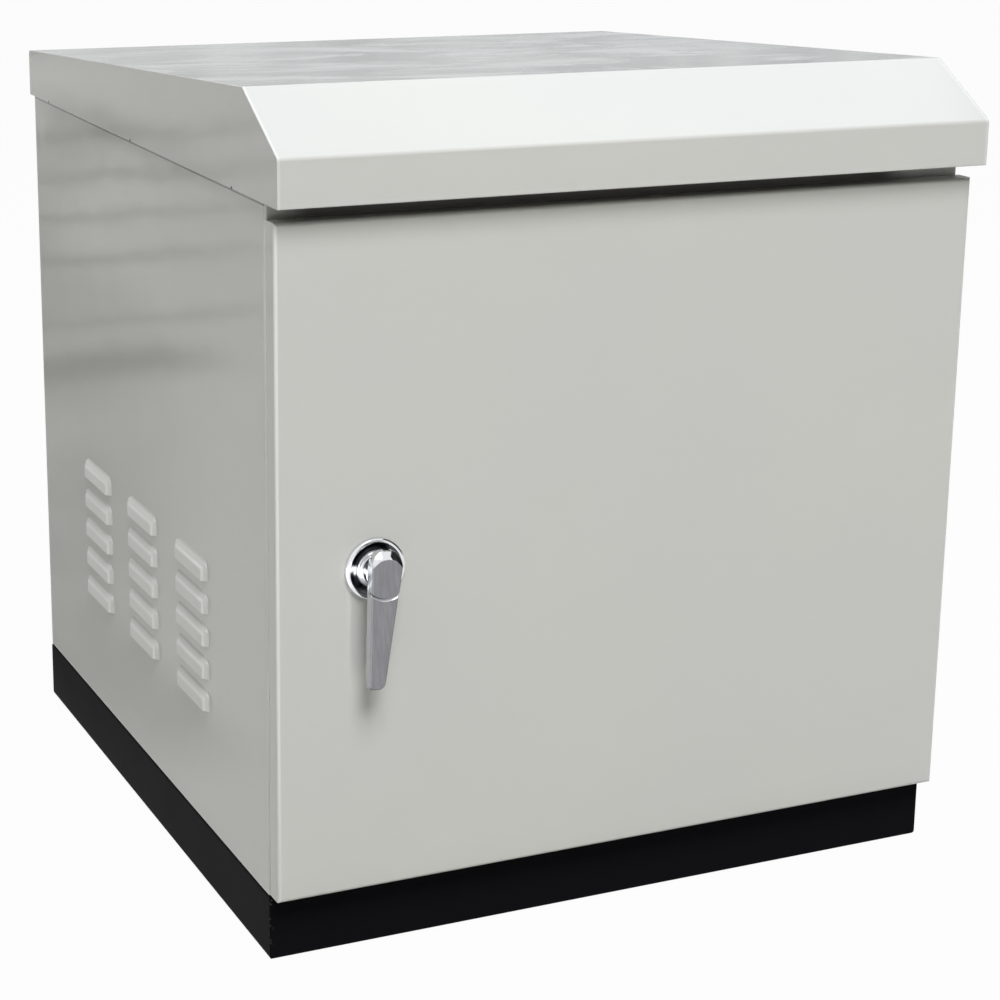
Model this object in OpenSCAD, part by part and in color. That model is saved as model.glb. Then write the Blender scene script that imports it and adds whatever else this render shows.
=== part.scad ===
// Outdoor equipment cabinet on a plinth, with a hinged door, louvred sides and a rain canopy.
// Millimetres. The origin is on the ground, at the centre of the anchor holes.
// +X is to the right seen from the front, +Y runs to the back, and the door faces -Y.

/* [Body] */
// Width over the side panels
body_w = 600; // [580:5:800]
// Depth from the front flange to the back
body_d = 620; // [560:10:900]
// Height of the equipment space in rack units
rack_units = 10; // [10:1:20]
// Sheet thickness of the body, door and canopy
sheet_t = 1.5; // [1:0.1:2]
// Inside radius of the folds
fold_r = 1.5; // [1:0.1:3]
// Width of the flange around the door opening
flange_w = 38; // [36:1:60]
// Height of the sealing rim in front of that flange
rim_h = 11; // [8:0.5:12]
// Height of the front above the door, up to the body's top
head_h = 42; // [36:1:80]
// Width of the rear flange on the side panels
rear_flange_w = 22; // [15:1:40]

/* [Plinth] */
// Height of the plinth
plinth_h = 55; // [45:1:150]
// Sheet thickness of the plinth
plinth_t = 2; // [1.5:0.1:3]
// Width of the plinth's top and bottom flanges
plinth_flange_w = 42; // [36:1:60]
// Diameter of the anchor holes
anchor_d = 14; // [10:1:18]
// Distance of the anchor holes from the plinth's side faces
anchor_in_x = 70; // [60:1:120]
// Distance of the anchor holes from the plinth's front and back faces
anchor_in_y = 22; // [16:0.5:28]
// Distance of the plinth bolts from the side faces
plinth_bolt_in = 22; // [16:0.5:28]
// Spacing of the plinth bolts along the depth
plinth_bolt_pitch = 440; // [300:10:460]

/* [Louvres] */
// Length of a louvre
louvre_len = 78; // [60:1:100]
// Height of a louvre
louvre_h = 17; // [15:0.5:22]
// How far a louvre stands out from the panel
louvre_out = 4.2; // [3.5:0.1:6]
// Height of a louvre's upright band
louvre_band = 9.5; // [7:0.5:11]
// Length of the slope at a louvre's ends
louvre_end = 6.5; // [5:0.5:12]
// Radius of a louvre's upper corners
louvre_corner_r = 9; // [6:0.5:10]
// Columns of louvres
louvre_cols = 3; // [1:1:3]
// Rows of louvres
louvre_rows = 5; // [1:1:8]
// Spacing of the columns
louvre_pitch_y = 131; // [112:1:150]
// Spacing of the rows
louvre_pitch_z = 27.75; // [24:0.25:40]
// Lowest louvre's edge above the plinth
louvre_low = 101; // [90:1:160]
// Distance of the louvres from the middle of the panel, towards the back
louvre_shift = -4.5; // [-10:0.5:10]

/* [Canopy] */
// How far the canopy stands out at each side
canopy_side = 2.5; // [2.3:0.1:10]
// How far the canopy stands out at the back
canopy_rear = 4; // [3:0.5:20]
// How far the canopy stands out in front of the front flange
canopy_front = 34; // [30:1:80]
// How far the skirt reaches below the body's top
skirt_drop = 30; // [20:1:34]
// How much higher the skirt's edge is at the back
skirt_rise = 6.5; // [0:0.5:10]
// Height of the upright front lip
lip_h = 36; // [25:1:60]
// Width of the fold under the front lip
lip_return = 9; // [5:0.5:12]
// Depth of the slope above the lip
slope_run = 71; // [40:1:120]
// Height of the slope above the lip
slope_rise = 42.5; // [38:0.5:80]
// Fall of the roof from the ridge to the back
roof_fall = 31; // [15:1:36]
// Radius of the drain notches in the skirt
notch_r = 1.5; // [1:0.1:3]
// Spacing of the drain notches
notch_pitch = 249; // [150:1:260]

/* [Door] */
// Depth of the door's folded edge
door_depth = 16.5; // [15:0.5:20]
// Gap between the door and the plinth
door_low_gap = 1.5; // [1:0.1:5]
// Outside radius of the door's front edges
door_edge_r = 3; // [2:0.1:5]
// Width of the door's gasket
gasket_w = 10; // [6:0.5:12]
// How far the door opens, in degrees
door_open = 110; // [90:1:112]
// Height of the door's stiffeners
stiffener_h = 12; // [8:0.5:16]
// Distance of the stiffeners from the door's ends
stiffener_in = 62; // [50:1:120]
// Distance of each stiffener from the door's middle
stiffener_off = 95; // [60:1:120]

/* [Hinges] */
// Diameter of the hinge pins
hinge_pin_d = 5; // [4:0.5:6]
// Outside radius of the hinge eyes
hinge_eye_r = 5; // [4.5:0.1:6]
// Height of each hinge knuckle
knuckle_h = 6; // [5:0.5:12]
// Height of the hinge plates
hinge_plate_h = 46; // [40:1:80]
// Thickness of the hinge plates
hinge_plate_t = 2.2; // [1.5:0.1:2.5]
// Distance of the hinges from the door's ends
hinge_in = 90; // [60:1:150]

/* [Handle] */
// Distance of the handle's axis from the door's left edge
handle_in = 78; // [72:1:110]
// Distance of the handle's axis below the door's middle
handle_low = 2.5; // [0:0.5:60]
// Diameter of the rose on the door
rose_d = 48.4; // [44:0.2:56]
// Thickness of the rose's rim
rose_t = 5; // [4:0.5:7]
// Diameter of the neck between the rose and the lever
neck_d = 25; // [22:0.5:30]
// Room for the fingers between the door and the lever
finger_gap = 16; // [14:0.5:25]
// Thickness of the lever
lever_t = 9.2; // [8:0.1:11]
// Width of the lever's head
head_w = 24.6; // [22:0.2:28]
// Height of the head above the axis
head_top = 20; // [18:0.5:24]
// Length of the lever below the axis
lever_len = 88; // [70:1:120]
// Width of the lever's end
lever_end_w = 12.6; // [10:0.2:16]
// Width of the bevel round the lever's face
bevel_w = 0.7; // [0.4:0.1:1.5]
// How far the head's domed top falls back from the face
dome_fall = 5; // [3:0.5:6]
// Angle at which the lever hangs, in degrees
lever_tilt = 4.6; // [0:0.2:10]
// Height of the key cover's lower edge below the axis
cover_low = 16.4; // [14:0.2:20]
// Width of the lip under the key cover
cover_lip = 1.6; // [1:0.1:2.5]
// Diameter of the key cover's pin
cover_pin_d = 2; // [1.6:0.1:2.4]
// Diameter of the spindle
spindle_d = 12; // [11:0.5:14]
// Diameter of the lock plug
plug_d = 8; // [6:0.5:8.5]
// Length of the lock plug
plug_len = 13; // [8:0.5:16]
// Diameter of the threaded shank through the door
shank_d = 20; // [18:0.5:24]
// Size across the flats of the shank's nut
shank_nut_af = 27; // [26:0.5:34]
// Thickness of the latch cam
cam_t = 3; // [2:0.1:4]
// How far the cam reaches behind the front flange
cam_grip = 14; // [8:0.5:18]

/* [Rack] */
// Height of one rack unit
unit_h = 44.45; // [44.45:0.01:44.46]
// Distance of the rail holes from the rails' inner edges
rail_hole_in = 7.55; // [7.5:0.05:9]
// Size of the square rail holes
rail_hole = 9.5; // [9:0.1:9.6]
// Distance of the rails' inner edges from the body's sides
rail_in = 75; // [72:0.5:90]
// Sheet thickness of the rails and braces
rail_t = 2; // [1.5:0.1:2.5]
// Depth of a rail's side leg
rail_leg = 40; // [30:1:60]
// Width of a rail's face
rail_face_w = 34; // [28:0.5:36]
// Distance of the front rails behind the front flange
rail_setback = 70; // [60:1:120]
// Distance between the front and rear rail faces
rail_depth = 430; // [350:5:440]
// Height of the braces' legs
brace_h = 24; // [20:1:40]
// Distance of the braces from the rails' ends
brace_in = 26; // [20:1:60]
// Spacing of the braces' slots
slot_pitch = 40; // [34:1:60]

/* [Fittings] */
// Diameter of the rail and roof bolts
bolt_d = 6; // [5:0.5:8]
// Diameter of the plinth bolts
plinth_bolt_d = 8; // [6:0.5:10]
// Width of the roof bearers' flanges
bearer_w = 28; // [22:1:40]
// Distance of the roof bearers from the front and back of the body
bearer_in = 75; // [60:1:120]
// Thickness of the filter mats
filter_t = 10; // [6:0.5:16]
// Bore of the cable grommets
grommet_d = 32; // [20:1:40]
// Number of cable grommets
grommet_count = 3; // [1:1:4]
// Spacing of the cable grommets
grommet_pitch = 80; // [65:1:100]
// Distance of the cable grommets from the back
grommet_in = 95; // [80:1:140]
// Diameter of the earth stud
earth_d = 8; // [6:0.5:10]
// Length of the earth stud
earth_len = 26; // [22:1:40]

/* [Hidden] */

$fn = 48;
fold_steps = 5;
cut = 1;
run_fit = 0.05;
hole_fit = 0.3;
soft_fit = 0.3;
part_gap = 0.4;
swing_clear = 0.7;

paint = [0.77, 0.77, 0.74];
black = [0.09, 0.09, 0.1];
zinc = [0.66, 0.67, 0.68];
chrome = [0.82, 0.83, 0.85];
brass = [0.78, 0.64, 0.32];
rubber = [0.13, 0.13, 0.13];
foam = [0.3, 0.3, 0.29];

// Main planes
half_w = body_w / 2;
half_d = body_d / 2;
front_y = -half_d;
opening_margin = 4.5;
opening_h = rack_units * unit_h + opening_margin;
door_h = opening_h + 2 * flange_w;
door_z0 = plinth_h + door_low_gap;
door_z1 = door_z0 + door_h;
open_z0 = door_z0 + flange_w;
open_z1 = open_z0 + opening_h;
body_z1 = door_z1 + head_h;
inner_x = half_w - sheet_t;
flange_x = half_w - flange_w;
floor_top = plinth_h + sheet_t;
roof_under = body_z1 - sheet_t;
mid_fold = fold_r + sheet_t / 2;

// Hinge and door planes: the door's edge swings clear of the front flange
pivot_in = sheet_t + part_gap + hinge_eye_r;
pivot_back = door_depth - pivot_in;
swing_r = norm([pivot_in, pivot_back]);
door_gap = swing_r - pivot_back + swing_clear;
door_front = front_y - door_gap - door_depth;
door_inner = door_front + sheet_t;
pivot_x = half_w - pivot_in;
pivot_y = door_front + pivot_in;
hinge_zs = [door_z0 + hinge_in, door_z1 - hinge_in];
rim_y = front_y - rim_h;

// Handle
handle_x = -half_w + handle_in;
door_mid_z = (door_z0 + door_z1) / 2;
handle_z = door_mid_z - handle_low;

// Canopy
skirt_z = body_z1 - skirt_drop;
lip_y = front_y - canopy_front;
ridge_y = lip_y + slope_run;
ridge_z = skirt_z + lip_h + slope_rise;
back_y = half_d + canopy_rear;
back_z = ridge_z - roof_fall;
function skirt_edge(y) = skirt_z + (y - lip_y) * skirt_rise / (back_y - lip_y);
function roof_z(y) = ridge_z + (y - ridge_y) * (back_z - ridge_z) / (back_y - ridge_y);

// Rails and braces
rail_face_x = half_w - rail_in;
rail_out_x = rail_face_x + rail_face_w;
rail_h = rack_units * unit_h;
rail_z0 = open_z0 + opening_margin / 2;
front_rail_y = front_y + rail_setback;
rear_rail_y = front_rail_y + rail_depth;
brace_zs = [rail_z0 + brace_in, rail_z0 + rail_h - brace_in];
brace_len = rail_depth + 2 * rail_leg;
brace_y = (front_rail_y + rear_rail_y) / 2;

// Small shapes
function unit(v) = v / norm(v);
function left_of(v) = [-v[1], v[0]];
function turned(v, a) = [v[0] * cos(a) - v[1] * sin(a), v[0] * sin(a) + v[1] * cos(a)];

// One fold of a sheet: points on its centre line, each with the direction across the sheet
function fold(a, p, b, r) =
    let (u = unit(p - a), v = unit(b - p), way = sign(cross(u, v)), turn = acos(u * v))
    let (centre = p - u * r * tan(turn / 2) + left_of(u) * r * way)
    [for (k = [0:fold_steps])
        let (across = turned(left_of(u), way * turn * k / fold_steps))
        [centre - across * r * way, across]];

// Centre line of a folded sheet
function fold_line(path, r) =
    let (last = len(path) - 1)
    concat([[path[0], left_of(unit(path[1] - path[0]))]],
        [for (i = [1:1:last - 1]) each fold(path[i - 1], path[i], path[i + 1], r)],
        [[path[last], left_of(unit(path[last] - path[last - 1]))]]);

// Section of a folded sheet of thickness t along a centre line
module folded(path, t) {
    line = fold_line(path, fold_r + t / 2);
    polygon(concat([for (q = line) q[0] + q[1] * t / 2],
        [for (i = [len(line) - 1:-1:0]) line[i][0] - line[i][1] * t / 2]));
}

// Closed outline moved inwards by d, for points that run clockwise
function inset(pts, d) =
    let (n = len(pts))
    [for (i = [0:n - 1])
        let (u = unit(pts[i] - pts[(i + n - 1) % n]), v = unit(pts[(i + 1) % n] - pts[i]))
        let (a = -left_of(u), b = -left_of(v))
        pts[i] + (a + b) * d / (1 + a * b)];

// Closed outline with rounded corners, for points that run clockwise
function rounded(pts, r) =
    let (n = len(pts))
    [for (i = [0:n - 1])
        for (q = fold(pts[(i + n - 1) % n], pts[i], pts[(i + 1) % n], r)) q[0]];

// Places a profile drawn in Y and Z along X, centred
module along_x(length) {
    rotate([90, 0, 90]) linear_extrude(length, center = true) children();
}

// Places a profile drawn in X and Z along Y, centred
module along_y(length) {
    rotate([90, 0, 0]) linear_extrude(length, center = true) children();
}

// Moves a shape drawn round Z onto the handle's axis, with its own Z towards the front
module on_handle() {
    translate([handle_x, door_front, handle_z]) rotate([90, 0, 0]) children();
}

// The same, turned to the angle at which the lever hangs
module on_lever() {
    on_handle() rotate([0, 0, -lever_tilt]) children();
}

module ring(r_out, r_in, h) {
    difference() {
        cylinder(r = r_out, h = h);
        translate([0, 0, -cut]) cylinder(r = r_in, h = h + 2 * cut);
    }
}

// Hexagon across flats, with a bore
module hex_nut(af, bore_d, h) {
    difference() {
        cylinder(d = af / cos(30), h = h, $fn = 6);
        translate([0, 0, -cut]) cylinder(d = bore_d, h = h + 2 * cut);
    }
}

// Hexagon bolt with its head above z = 0 and its shank below
// The head's height, the size across flats and the nut's height are multiples of the diameter
bolt_head_h = 0.65;
bolt_af = 1.65;
nut_h = 0.8;
bolt_end = 1;
module hex_bolt(d, length) {
    cylinder(d = bolt_af * d / cos(30), h = bolt_head_h * d, $fn = 6);
    translate([0, 0, -length]) cylinder(d = d, h = length + cut / 2);
}

// Plinth
plinth_bolt_z = floor_top;
nut_run = 3;

module plinth_bar(length) {
    mid = plinth_t / 2;
    reach = plinth_flange_w;
    intersection() {
        along_x(length) folded([[reach, mid], [mid, mid], [mid, plinth_h - mid], [reach, plinth_h - mid]],
            plinth_t);
        linear_extrude(plinth_h)
            polygon([[-length / 2, 0], [length / 2, 0], [length / 2 - reach, reach],
                [reach - length / 2, reach]]);
    }
}

module anchor_holes() {
    for (x = [-1, 1], y = [-1, 1])
        translate([x * (half_w - anchor_in_x), y * (half_d - anchor_in_y), -cut])
            cylinder(d = anchor_d, h = plinth_t + 2 * cut);
}

module plinth_bolt_places(z) {
    for (x = [-1, 1], y = [-1, 1])
        translate([x * (half_w - plinth_bolt_in), y * plinth_bolt_pitch / 2, z]) children();
}

module plinth_bolt_holes() {
    plinth_bolt_places(plinth_h - plinth_t - cut)
        cylinder(d = plinth_bolt_d + 2 * hole_fit, h = plinth_t + sheet_t + 2 * cut);
}

module plinth_end_bar() {
    difference() {
        translate([0, -half_d, 0]) plinth_bar(body_w);
        anchor_holes();
    }
}

module plinth_side_bar() {
    difference() {
        rotate([0, 0, -90]) translate([0, -half_w, 0]) plinth_bar(body_d);
        plinth_bolt_holes();
    }
}

module plinth_front() { color(black) plinth_end_bar(); }
module plinth_rear() { color(black) mirror([0, 1, 0]) plinth_end_bar(); }
module plinth_left() { color(black) plinth_side_bar(); }
module plinth_right() { color(black) mirror([1, 0, 0]) plinth_side_bar(); }

module plinth_bolts() {
    grip = sheet_t + plinth_t + nut_h * plinth_bolt_d + nut_run;
    color(zinc) plinth_bolt_places(plinth_bolt_z) hex_bolt(plinth_bolt_d, grip);
}

module plinth_nuts() {
    h = nut_h * plinth_bolt_d;
    color(zinc) plinth_bolt_places(plinth_h - plinth_t - h)
        hex_nut(bolt_af * plinth_bolt_d, plinth_bolt_d + 2 * run_fit, h);
}

// Body panels
grommet_y = half_d - grommet_in;
grommet_lip = 4;
grommet_groove = 2.5;
function grommet_x(i) = (i - (grommet_count - 1) / 2) * grommet_pitch;

// How far the folded front laps onto the floor and top plates
plate_lap = 10;

// Sheet that fits between the side panels, notched at its corners to clear their folds
module body_plate() {
    depth = 2 * (half_d - sheet_t);
    linear_extrude(sheet_t) {
        square([2 * inner_x, depth - 2 * fold_r], center = true);
        square([2 * (inner_x - fold_r), depth], center = true);
    }
}

module floor_panel() {
    mid = sheet_t / 2;
    color(paint) difference() {
        union() {
            translate([0, 0, plinth_h]) body_plate();
            along_x(2 * flange_x) folded([[front_y + plate_lap, plinth_h + mid],
                [front_y + mid, plinth_h + mid], [front_y + mid, open_z0 - mid], [rim_y, open_z0 - mid]],
                sheet_t);
        }
        plinth_bolt_holes();
        for (i = [0:grommet_count - 1])
            translate([grommet_x(i), grommet_y, plinth_h - cut])
                cylinder(d = grommet_d + 2 * grommet_groove, h = sheet_t + 2 * cut);
    }
}

// Outline of a louvre on the panel, with its open edge at the bottom
module louvre_outline(wall) {
    half = louvre_len / 2 - wall;
    top = louvre_h - wall;
    r = louvre_corner_r - wall;
    translate([-half, 0]) square([2 * half, top - r]);
    translate([r - half, 0]) square([2 * (half - r), top]);
    for (s = [-1, 1]) translate([s * (half - r), top - r]) circle(r);
}

louvre_nose_r = 3;

// Pressed hood of a louvre, with the panel's outer face at x = 0
module louvre_form(wall, back) {
    half = louvre_len / 2;
    deep = 4 * sheet_t;
    rise = deep * (louvre_h - louvre_band) / louvre_out;
    spread = deep * louvre_end / louvre_out;
    side = inset([[deep, -deep], [-louvre_out, -deep],
        [-louvre_out, louvre_band], [deep, louvre_h + rise]], wall);
    plan = inset([[deep, -half - spread], [-louvre_out, louvre_end - half],
        [-louvre_out, half - louvre_end], [deep, half + spread]], wall);
    nose = [for (q = fold(side[1], side[2], side[3], louvre_nose_r - wall)) q[0]];
    intersection() {
        along_y(louvre_len) polygon(concat([side[0], side[1]], nose, [side[3]]));
        linear_extrude(louvre_h) polygon(plan);
        translate([(back - louvre_out - cut) / 2, 0, 0]) along_x(back + louvre_out + cut)
            louvre_outline(wall);
    }
}

module louvre_places() {
    for (c = [0:louvre_cols - 1], k = [0:louvre_rows - 1])
        translate([-half_w, louvre_shift + (c - (louvre_cols - 1) / 2) * louvre_pitch_y,
            plinth_h + louvre_low + k * louvre_pitch_z]) children();
}

module side_panel() {
    mid = sheet_t / 2;
    side_x = -half_w + mid;
    rim_x = -flange_x - mid;
    difference() {
        union() {
            translate([0, 0, plinth_h]) linear_extrude(body_z1 - plinth_h)
                folded([[-flange_x, front_y + mid], [side_x, front_y + mid],
                    [side_x, half_d - mid], [-half_w + rear_flange_w, half_d - mid]], sheet_t);
            translate([0, 0, open_z0 - sheet_t]) linear_extrude(opening_h + 2 * sheet_t)
                folded([[side_x + mid_fold, front_y + mid], [rim_x, front_y + mid], [rim_x, rim_y]],
                    sheet_t);
            louvre_places() louvre_form(0, sheet_t / 2);
        }
        louvre_places() louvre_form(sheet_t, 2 * sheet_t);
        hinge_screw_holes();
    }
}

module left_side_panel() { color(paint) side_panel(); }
module right_side_panel() { color(paint) mirror([1, 0, 0]) side_panel(); }

module rear_panel() {
    edge_x = inner_x - fold_r;
    color(paint) translate([-edge_x, half_d - 2 * sheet_t, floor_top])
        cube([2 * edge_x, sheet_t, roof_under - floor_top]);
}

vent_slot_w = 6;
vent_slot_len = 60;
vent_slot_pitch = 14;
vent_slot_rows = 9;
vent_slot_off = vent_slot_len * 0.6;

module vent_slots() {
    for (s = [-1, 1], i = [0:vent_slot_rows - 1])
        translate([s * vent_slot_off - vent_slot_len / 2,
            (i - (vent_slot_rows - 1) / 2) * vent_slot_pitch - vent_slot_w / 2, roof_under - cut])
            cube([vent_slot_len, vent_slot_w, sheet_t + 2 * cut]);
}

module top_panel() {
    mid = sheet_t / 2;
    color(paint) difference() {
        union() {
            translate([0, 0, roof_under]) body_plate();
            along_x(2 * flange_x) folded([[front_y + plate_lap, body_z1 - mid],
                [front_y + mid, body_z1 - mid], [front_y + mid, open_z1 + mid], [rim_y, open_z1 + mid]],
                sheet_t);
        }
        vent_slots();
        roof_bolt_holes();
    }
}

// Canopy and its bearers
skirt_outline = [[lip_y, skirt_z], [lip_y, skirt_z + lip_h], [ridge_y, ridge_z], [back_y, back_z],
    [back_y, skirt_edge(back_y)]];
canopy_fold_r = 2.5;

module canopy_form(inward) {
    shape = inset(skirt_outline, inward);
    top = rounded([shape[0] - [0, skirt_drop], shape[1], shape[2], shape[3], shape[4] - [0, skirt_drop]],
        canopy_fold_r + sheet_t - inward);
    along_x(2 * (half_w + canopy_side - inward)) polygon(top);
}

module roof_canopy() {
    low = skirt_z - 2 * skirt_drop;
    front = lip_y - cut;
    back = back_y + cut;
    color(paint) difference() {
        union() {
            difference() {
                canopy_form(0);
                canopy_form(sheet_t);
                along_x(2 * body_w) polygon([[front, low], [front, skirt_edge(front)],
                    [back, skirt_edge(back)], [back, low]]);
            }
            translate([-inner_x, lip_y + sheet_t / 2, skirt_z]) cube([2 * inner_x, lip_return, sheet_t]);
        }
        for (i = [-1:1])
            translate([0, i * notch_pitch, skirt_edge(i * notch_pitch)]) rotate([0, 90, 0])
                cylinder(r = notch_r, h = 2 * body_w, center = true);
    }
}

front_bearer_y = front_y + bearer_in;
rear_bearer_y = half_d - bearer_in;
bearer_len = 2 * flange_x;
roof_bolt_x = flange_x * 2 / 3;
roof_bolt_in = bearer_w * 0.6;
roof_under_gap = sheet_t / cos(atan2(ridge_z - back_z, back_y - ridge_y));

// C section that stands on the top panel and carries the sloping roof
module roof_bearer(y) {
    mid = sheet_t / 2;
    lift = roof_under_gap * 1.5 + run_fit;
    difference() {
        along_x(bearer_len) folded([[y + bearer_w, body_z1 + mid], [y, body_z1 + mid],
            [y, roof_z(y) - lift], [y + bearer_w, roof_z(y + bearer_w) - lift]], sheet_t);
        roof_bolt_holes();
    }
}

module roof_bolt_places(z) {
    for (x = [-1, 1], y = [front_bearer_y, rear_bearer_y])
        translate([x * roof_bolt_x, y + roof_bolt_in, z]) children();
}

module roof_bolt_holes() {
    roof_bolt_places(roof_under - cut) cylinder(d = bolt_d + 2 * hole_fit, h = 2 * sheet_t + 2 * cut);
}

module front_roof_bearer() { color(zinc) roof_bearer(front_bearer_y); }
module rear_roof_bearer() { color(zinc) roof_bearer(rear_bearer_y); }

module roof_bolts() {
    length = 2 * sheet_t + nut_h * bolt_d + bolt_end;
    color(zinc) roof_bolt_places(roof_under) mirror([0, 0, 1]) hex_bolt(bolt_d, length);
}

module roof_nuts() {
    color(zinc) roof_bolt_places(body_z1 + sheet_t)
        hex_nut(bolt_af * bolt_d, bolt_d + 2 * run_fit, nut_h * bolt_d);
}

// Rack rails and the braces that carry them
slot_len = 24;
rail_bolt_drop = brace_h / 2;

module brace(z) {
    mid = rail_t / 2;
    slots = floor(brace_len / slot_pitch / 2) - 1;
    difference() {
        translate([0, brace_y, 0]) along_y(brace_len)
            folded([[-inner_x + mid, z - brace_h], [-inner_x + mid, z - mid],
                [-rail_out_x - mid, z - mid], [-rail_out_x - mid, z - brace_h]], rail_t);
        for (i = [-slots:slots])
            translate([-rail_out_x - rail_t - cut, brace_y + i * slot_pitch - slot_len / 2,
                z - rail_bolt_drop - bolt_d / 2 - hole_fit])
                cube([rail_t + 2 * cut, slot_len, bolt_d + 2 * hole_fit]);
        rail_bolt_holes();
    }
}

module left_upper_brace() { color(zinc) brace(brace_zs[1]); }
module left_lower_brace() { color(zinc) brace(brace_zs[0]); }
module right_upper_brace() { color(zinc) mirror([1, 0, 0]) brace(brace_zs[1]); }
module right_lower_brace() { color(zinc) mirror([1, 0, 0]) brace(brace_zs[0]); }

// Holes in one rack unit, from its lower edge
unit_holes = [6.35, 22.225, 38.1];

// Left front rail; its leg runs to the back
module rail(y, way) {
    mid = rail_t / 2;
    difference() {
        translate([0, 0, rail_z0]) linear_extrude(rail_h)
            folded([[-rail_face_x, y + way * mid], [-rail_out_x + mid, y + way * mid],
                [-rail_out_x + mid, y + way * rail_leg]], rail_t);
        for (u = [0:rack_units - 1], h = unit_holes)
            translate([-rail_face_x - rail_hole_in, y + way * mid, rail_z0 + u * unit_h + h])
                cube([rail_hole, 2 * rail_t, rail_hole], center = true);
        rail_bolt_holes();
    }
}

module front_left_rail() { color(zinc) rail(front_rail_y, 1); }
module front_right_rail() { color(zinc) mirror([1, 0, 0]) rail(front_rail_y, 1); }
module rear_left_rail() { color(zinc) rail(rear_rail_y, -1); }
module rear_right_rail() { color(zinc) mirror([1, 0, 0]) rail(rear_rail_y, -1); }

// Bolts through the left rails' legs into the braces; children's Z points to the right
module rail_bolt_places(x) {
    for (y = [front_rail_y + rail_leg / 2, rear_rail_y - rail_leg / 2], z = brace_zs)
        translate([x, y, z - rail_bolt_drop]) rotate([0, 90, 0]) children();
}

module rail_bolt_holes() {
    rail_bolt_places(-rail_out_x - rail_t - cut)
        cylinder(d = bolt_d + 2 * hole_fit, h = 2 * rail_t + 2 * cut);
}

module on_both_sides() {
    children();
    mirror([1, 0, 0]) children();
}

module rail_bolts() {
    length = 2 * rail_t + nut_h * bolt_d + bolt_end;
    color(zinc) on_both_sides() rail_bolt_places(-rail_out_x + rail_t) hex_bolt(bolt_d, length);
}

module rail_nuts() {
    h = nut_h * bolt_d;
    color(zinc) on_both_sides() rail_bolt_places(-rail_out_x - rail_t - h)
        hex_nut(bolt_af * bolt_d, bolt_d + 2 * run_fit, h);
}

// Filter mats behind the louvres, held in channels
filter_margin = 14;
channel_leg = 14;
filter_len = (louvre_cols - 1) * louvre_pitch_y + louvre_len + 2 * filter_margin;
filter_z0 = plinth_h + louvre_low - filter_margin;
filter_lift = fold_r - sqrt(pow(fold_r, 2) - pow(fold_r - soft_fit, 2)) + soft_fit;
filter_z1 = plinth_h + louvre_low + (louvre_rows - 1) * louvre_pitch_z + louvre_h + filter_margin;

module filter_channel(z, way) {
    mid = sheet_t / 2;
    back = -inner_x + mid;
    lip = back + sheet_t + filter_t + 2 * soft_fit;
    translate([0, louvre_shift, 0]) along_y(filter_len)
        folded([[back, z + way * channel_leg], [back, z - way * mid],
            [lip, z - way * mid], [lip, z + way * channel_leg]], sheet_t);
}

module filter_channels() {
    filter_channel(filter_z0, 1);
    filter_channel(filter_z1, -1);
}

module filter_mat() {
    translate([-inner_x + sheet_t + soft_fit, louvre_shift - filter_len / 2, filter_z0 + filter_lift])
        cube([filter_t, filter_len, filter_z1 - filter_z0 - 2 * filter_lift]);
}

module left_filter_channels() { color(zinc) filter_channels(); }
module right_filter_channels() { color(zinc) mirror([1, 0, 0]) filter_channels(); }
module left_filter_mat() { color(foam) filter_mat(); }
module right_filter_mat() { color(foam) mirror([1, 0, 0]) filter_mat(); }

// Grommets with a thin skin that is pierced when a cable is fitted
grommet_skin = 1;
module cable_grommets() {
    r = grommet_d / 2;
    groove_r = r + grommet_groove - hole_fit;
    lip_r = r + grommet_groove + grommet_lip;
    color(rubber) for (i = [0:grommet_count - 1])
        translate([grommet_x(i), grommet_y, 0]) rotate_extrude() {
            translate([0, plinth_h]) square([groove_r, grommet_skin]);
            translate([r, plinth_h]) square([groove_r - r, sheet_t]);
            translate([r, floor_top]) square([lip_r - r, grommet_lip / 2]);
            translate([r, plinth_h - grommet_lip / 2]) square([lip_r - r, grommet_lip / 2]);
        }
}

// Earth stud on the floor
earth_in = 30;
earth_x = -rail_face_x + earth_in;
earth_y = grommet_y;
earth_washer_t = 1.6;
module at_earth(z) { translate([earth_x, earth_y, z]) children(); }
module earth_stud() { color(zinc) at_earth(floor_top) cylinder(d = earth_d, h = earth_len); }
module earth_washer() {
    color(zinc) at_earth(floor_top) ring(earth_d, earth_d / 2 + run_fit, earth_washer_t);
}
module earth_nut() {
    color(brass) at_earth(floor_top + earth_washer_t)
        hex_nut(bolt_af * earth_d, earth_d + 2 * run_fit, nut_h * earth_d);
}

// Hinges: an arm on the flange carries the pin's middle, and a leaf on the door has an eye above and below
arm_clear = 0.7;
foot_clear = 2.5;
foot_near = swing_r + foot_clear;
foot_w = pivot_x - foot_near - flange_x - sheet_t - fold_r - part_gap;
arm_root = [foot_near + foot_w * 0.7, foot_near + foot_w * 0.2];
screw_off = hinge_plate_h * 0.32;
pin_head_h = 2;
pin_head_r = hinge_eye_r - 1;
screw_d = 5;
screw_head_r = 4;
screw_head_h = 2.4;
leaf_face = hinge_plate_t - pivot_in + sheet_t;
free_edge_y = (pivot_in - sheet_t) * sin(door_open) + pivot_back * cos(door_open);
foot_face = front_y - pivot_y - hinge_plate_t;

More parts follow.
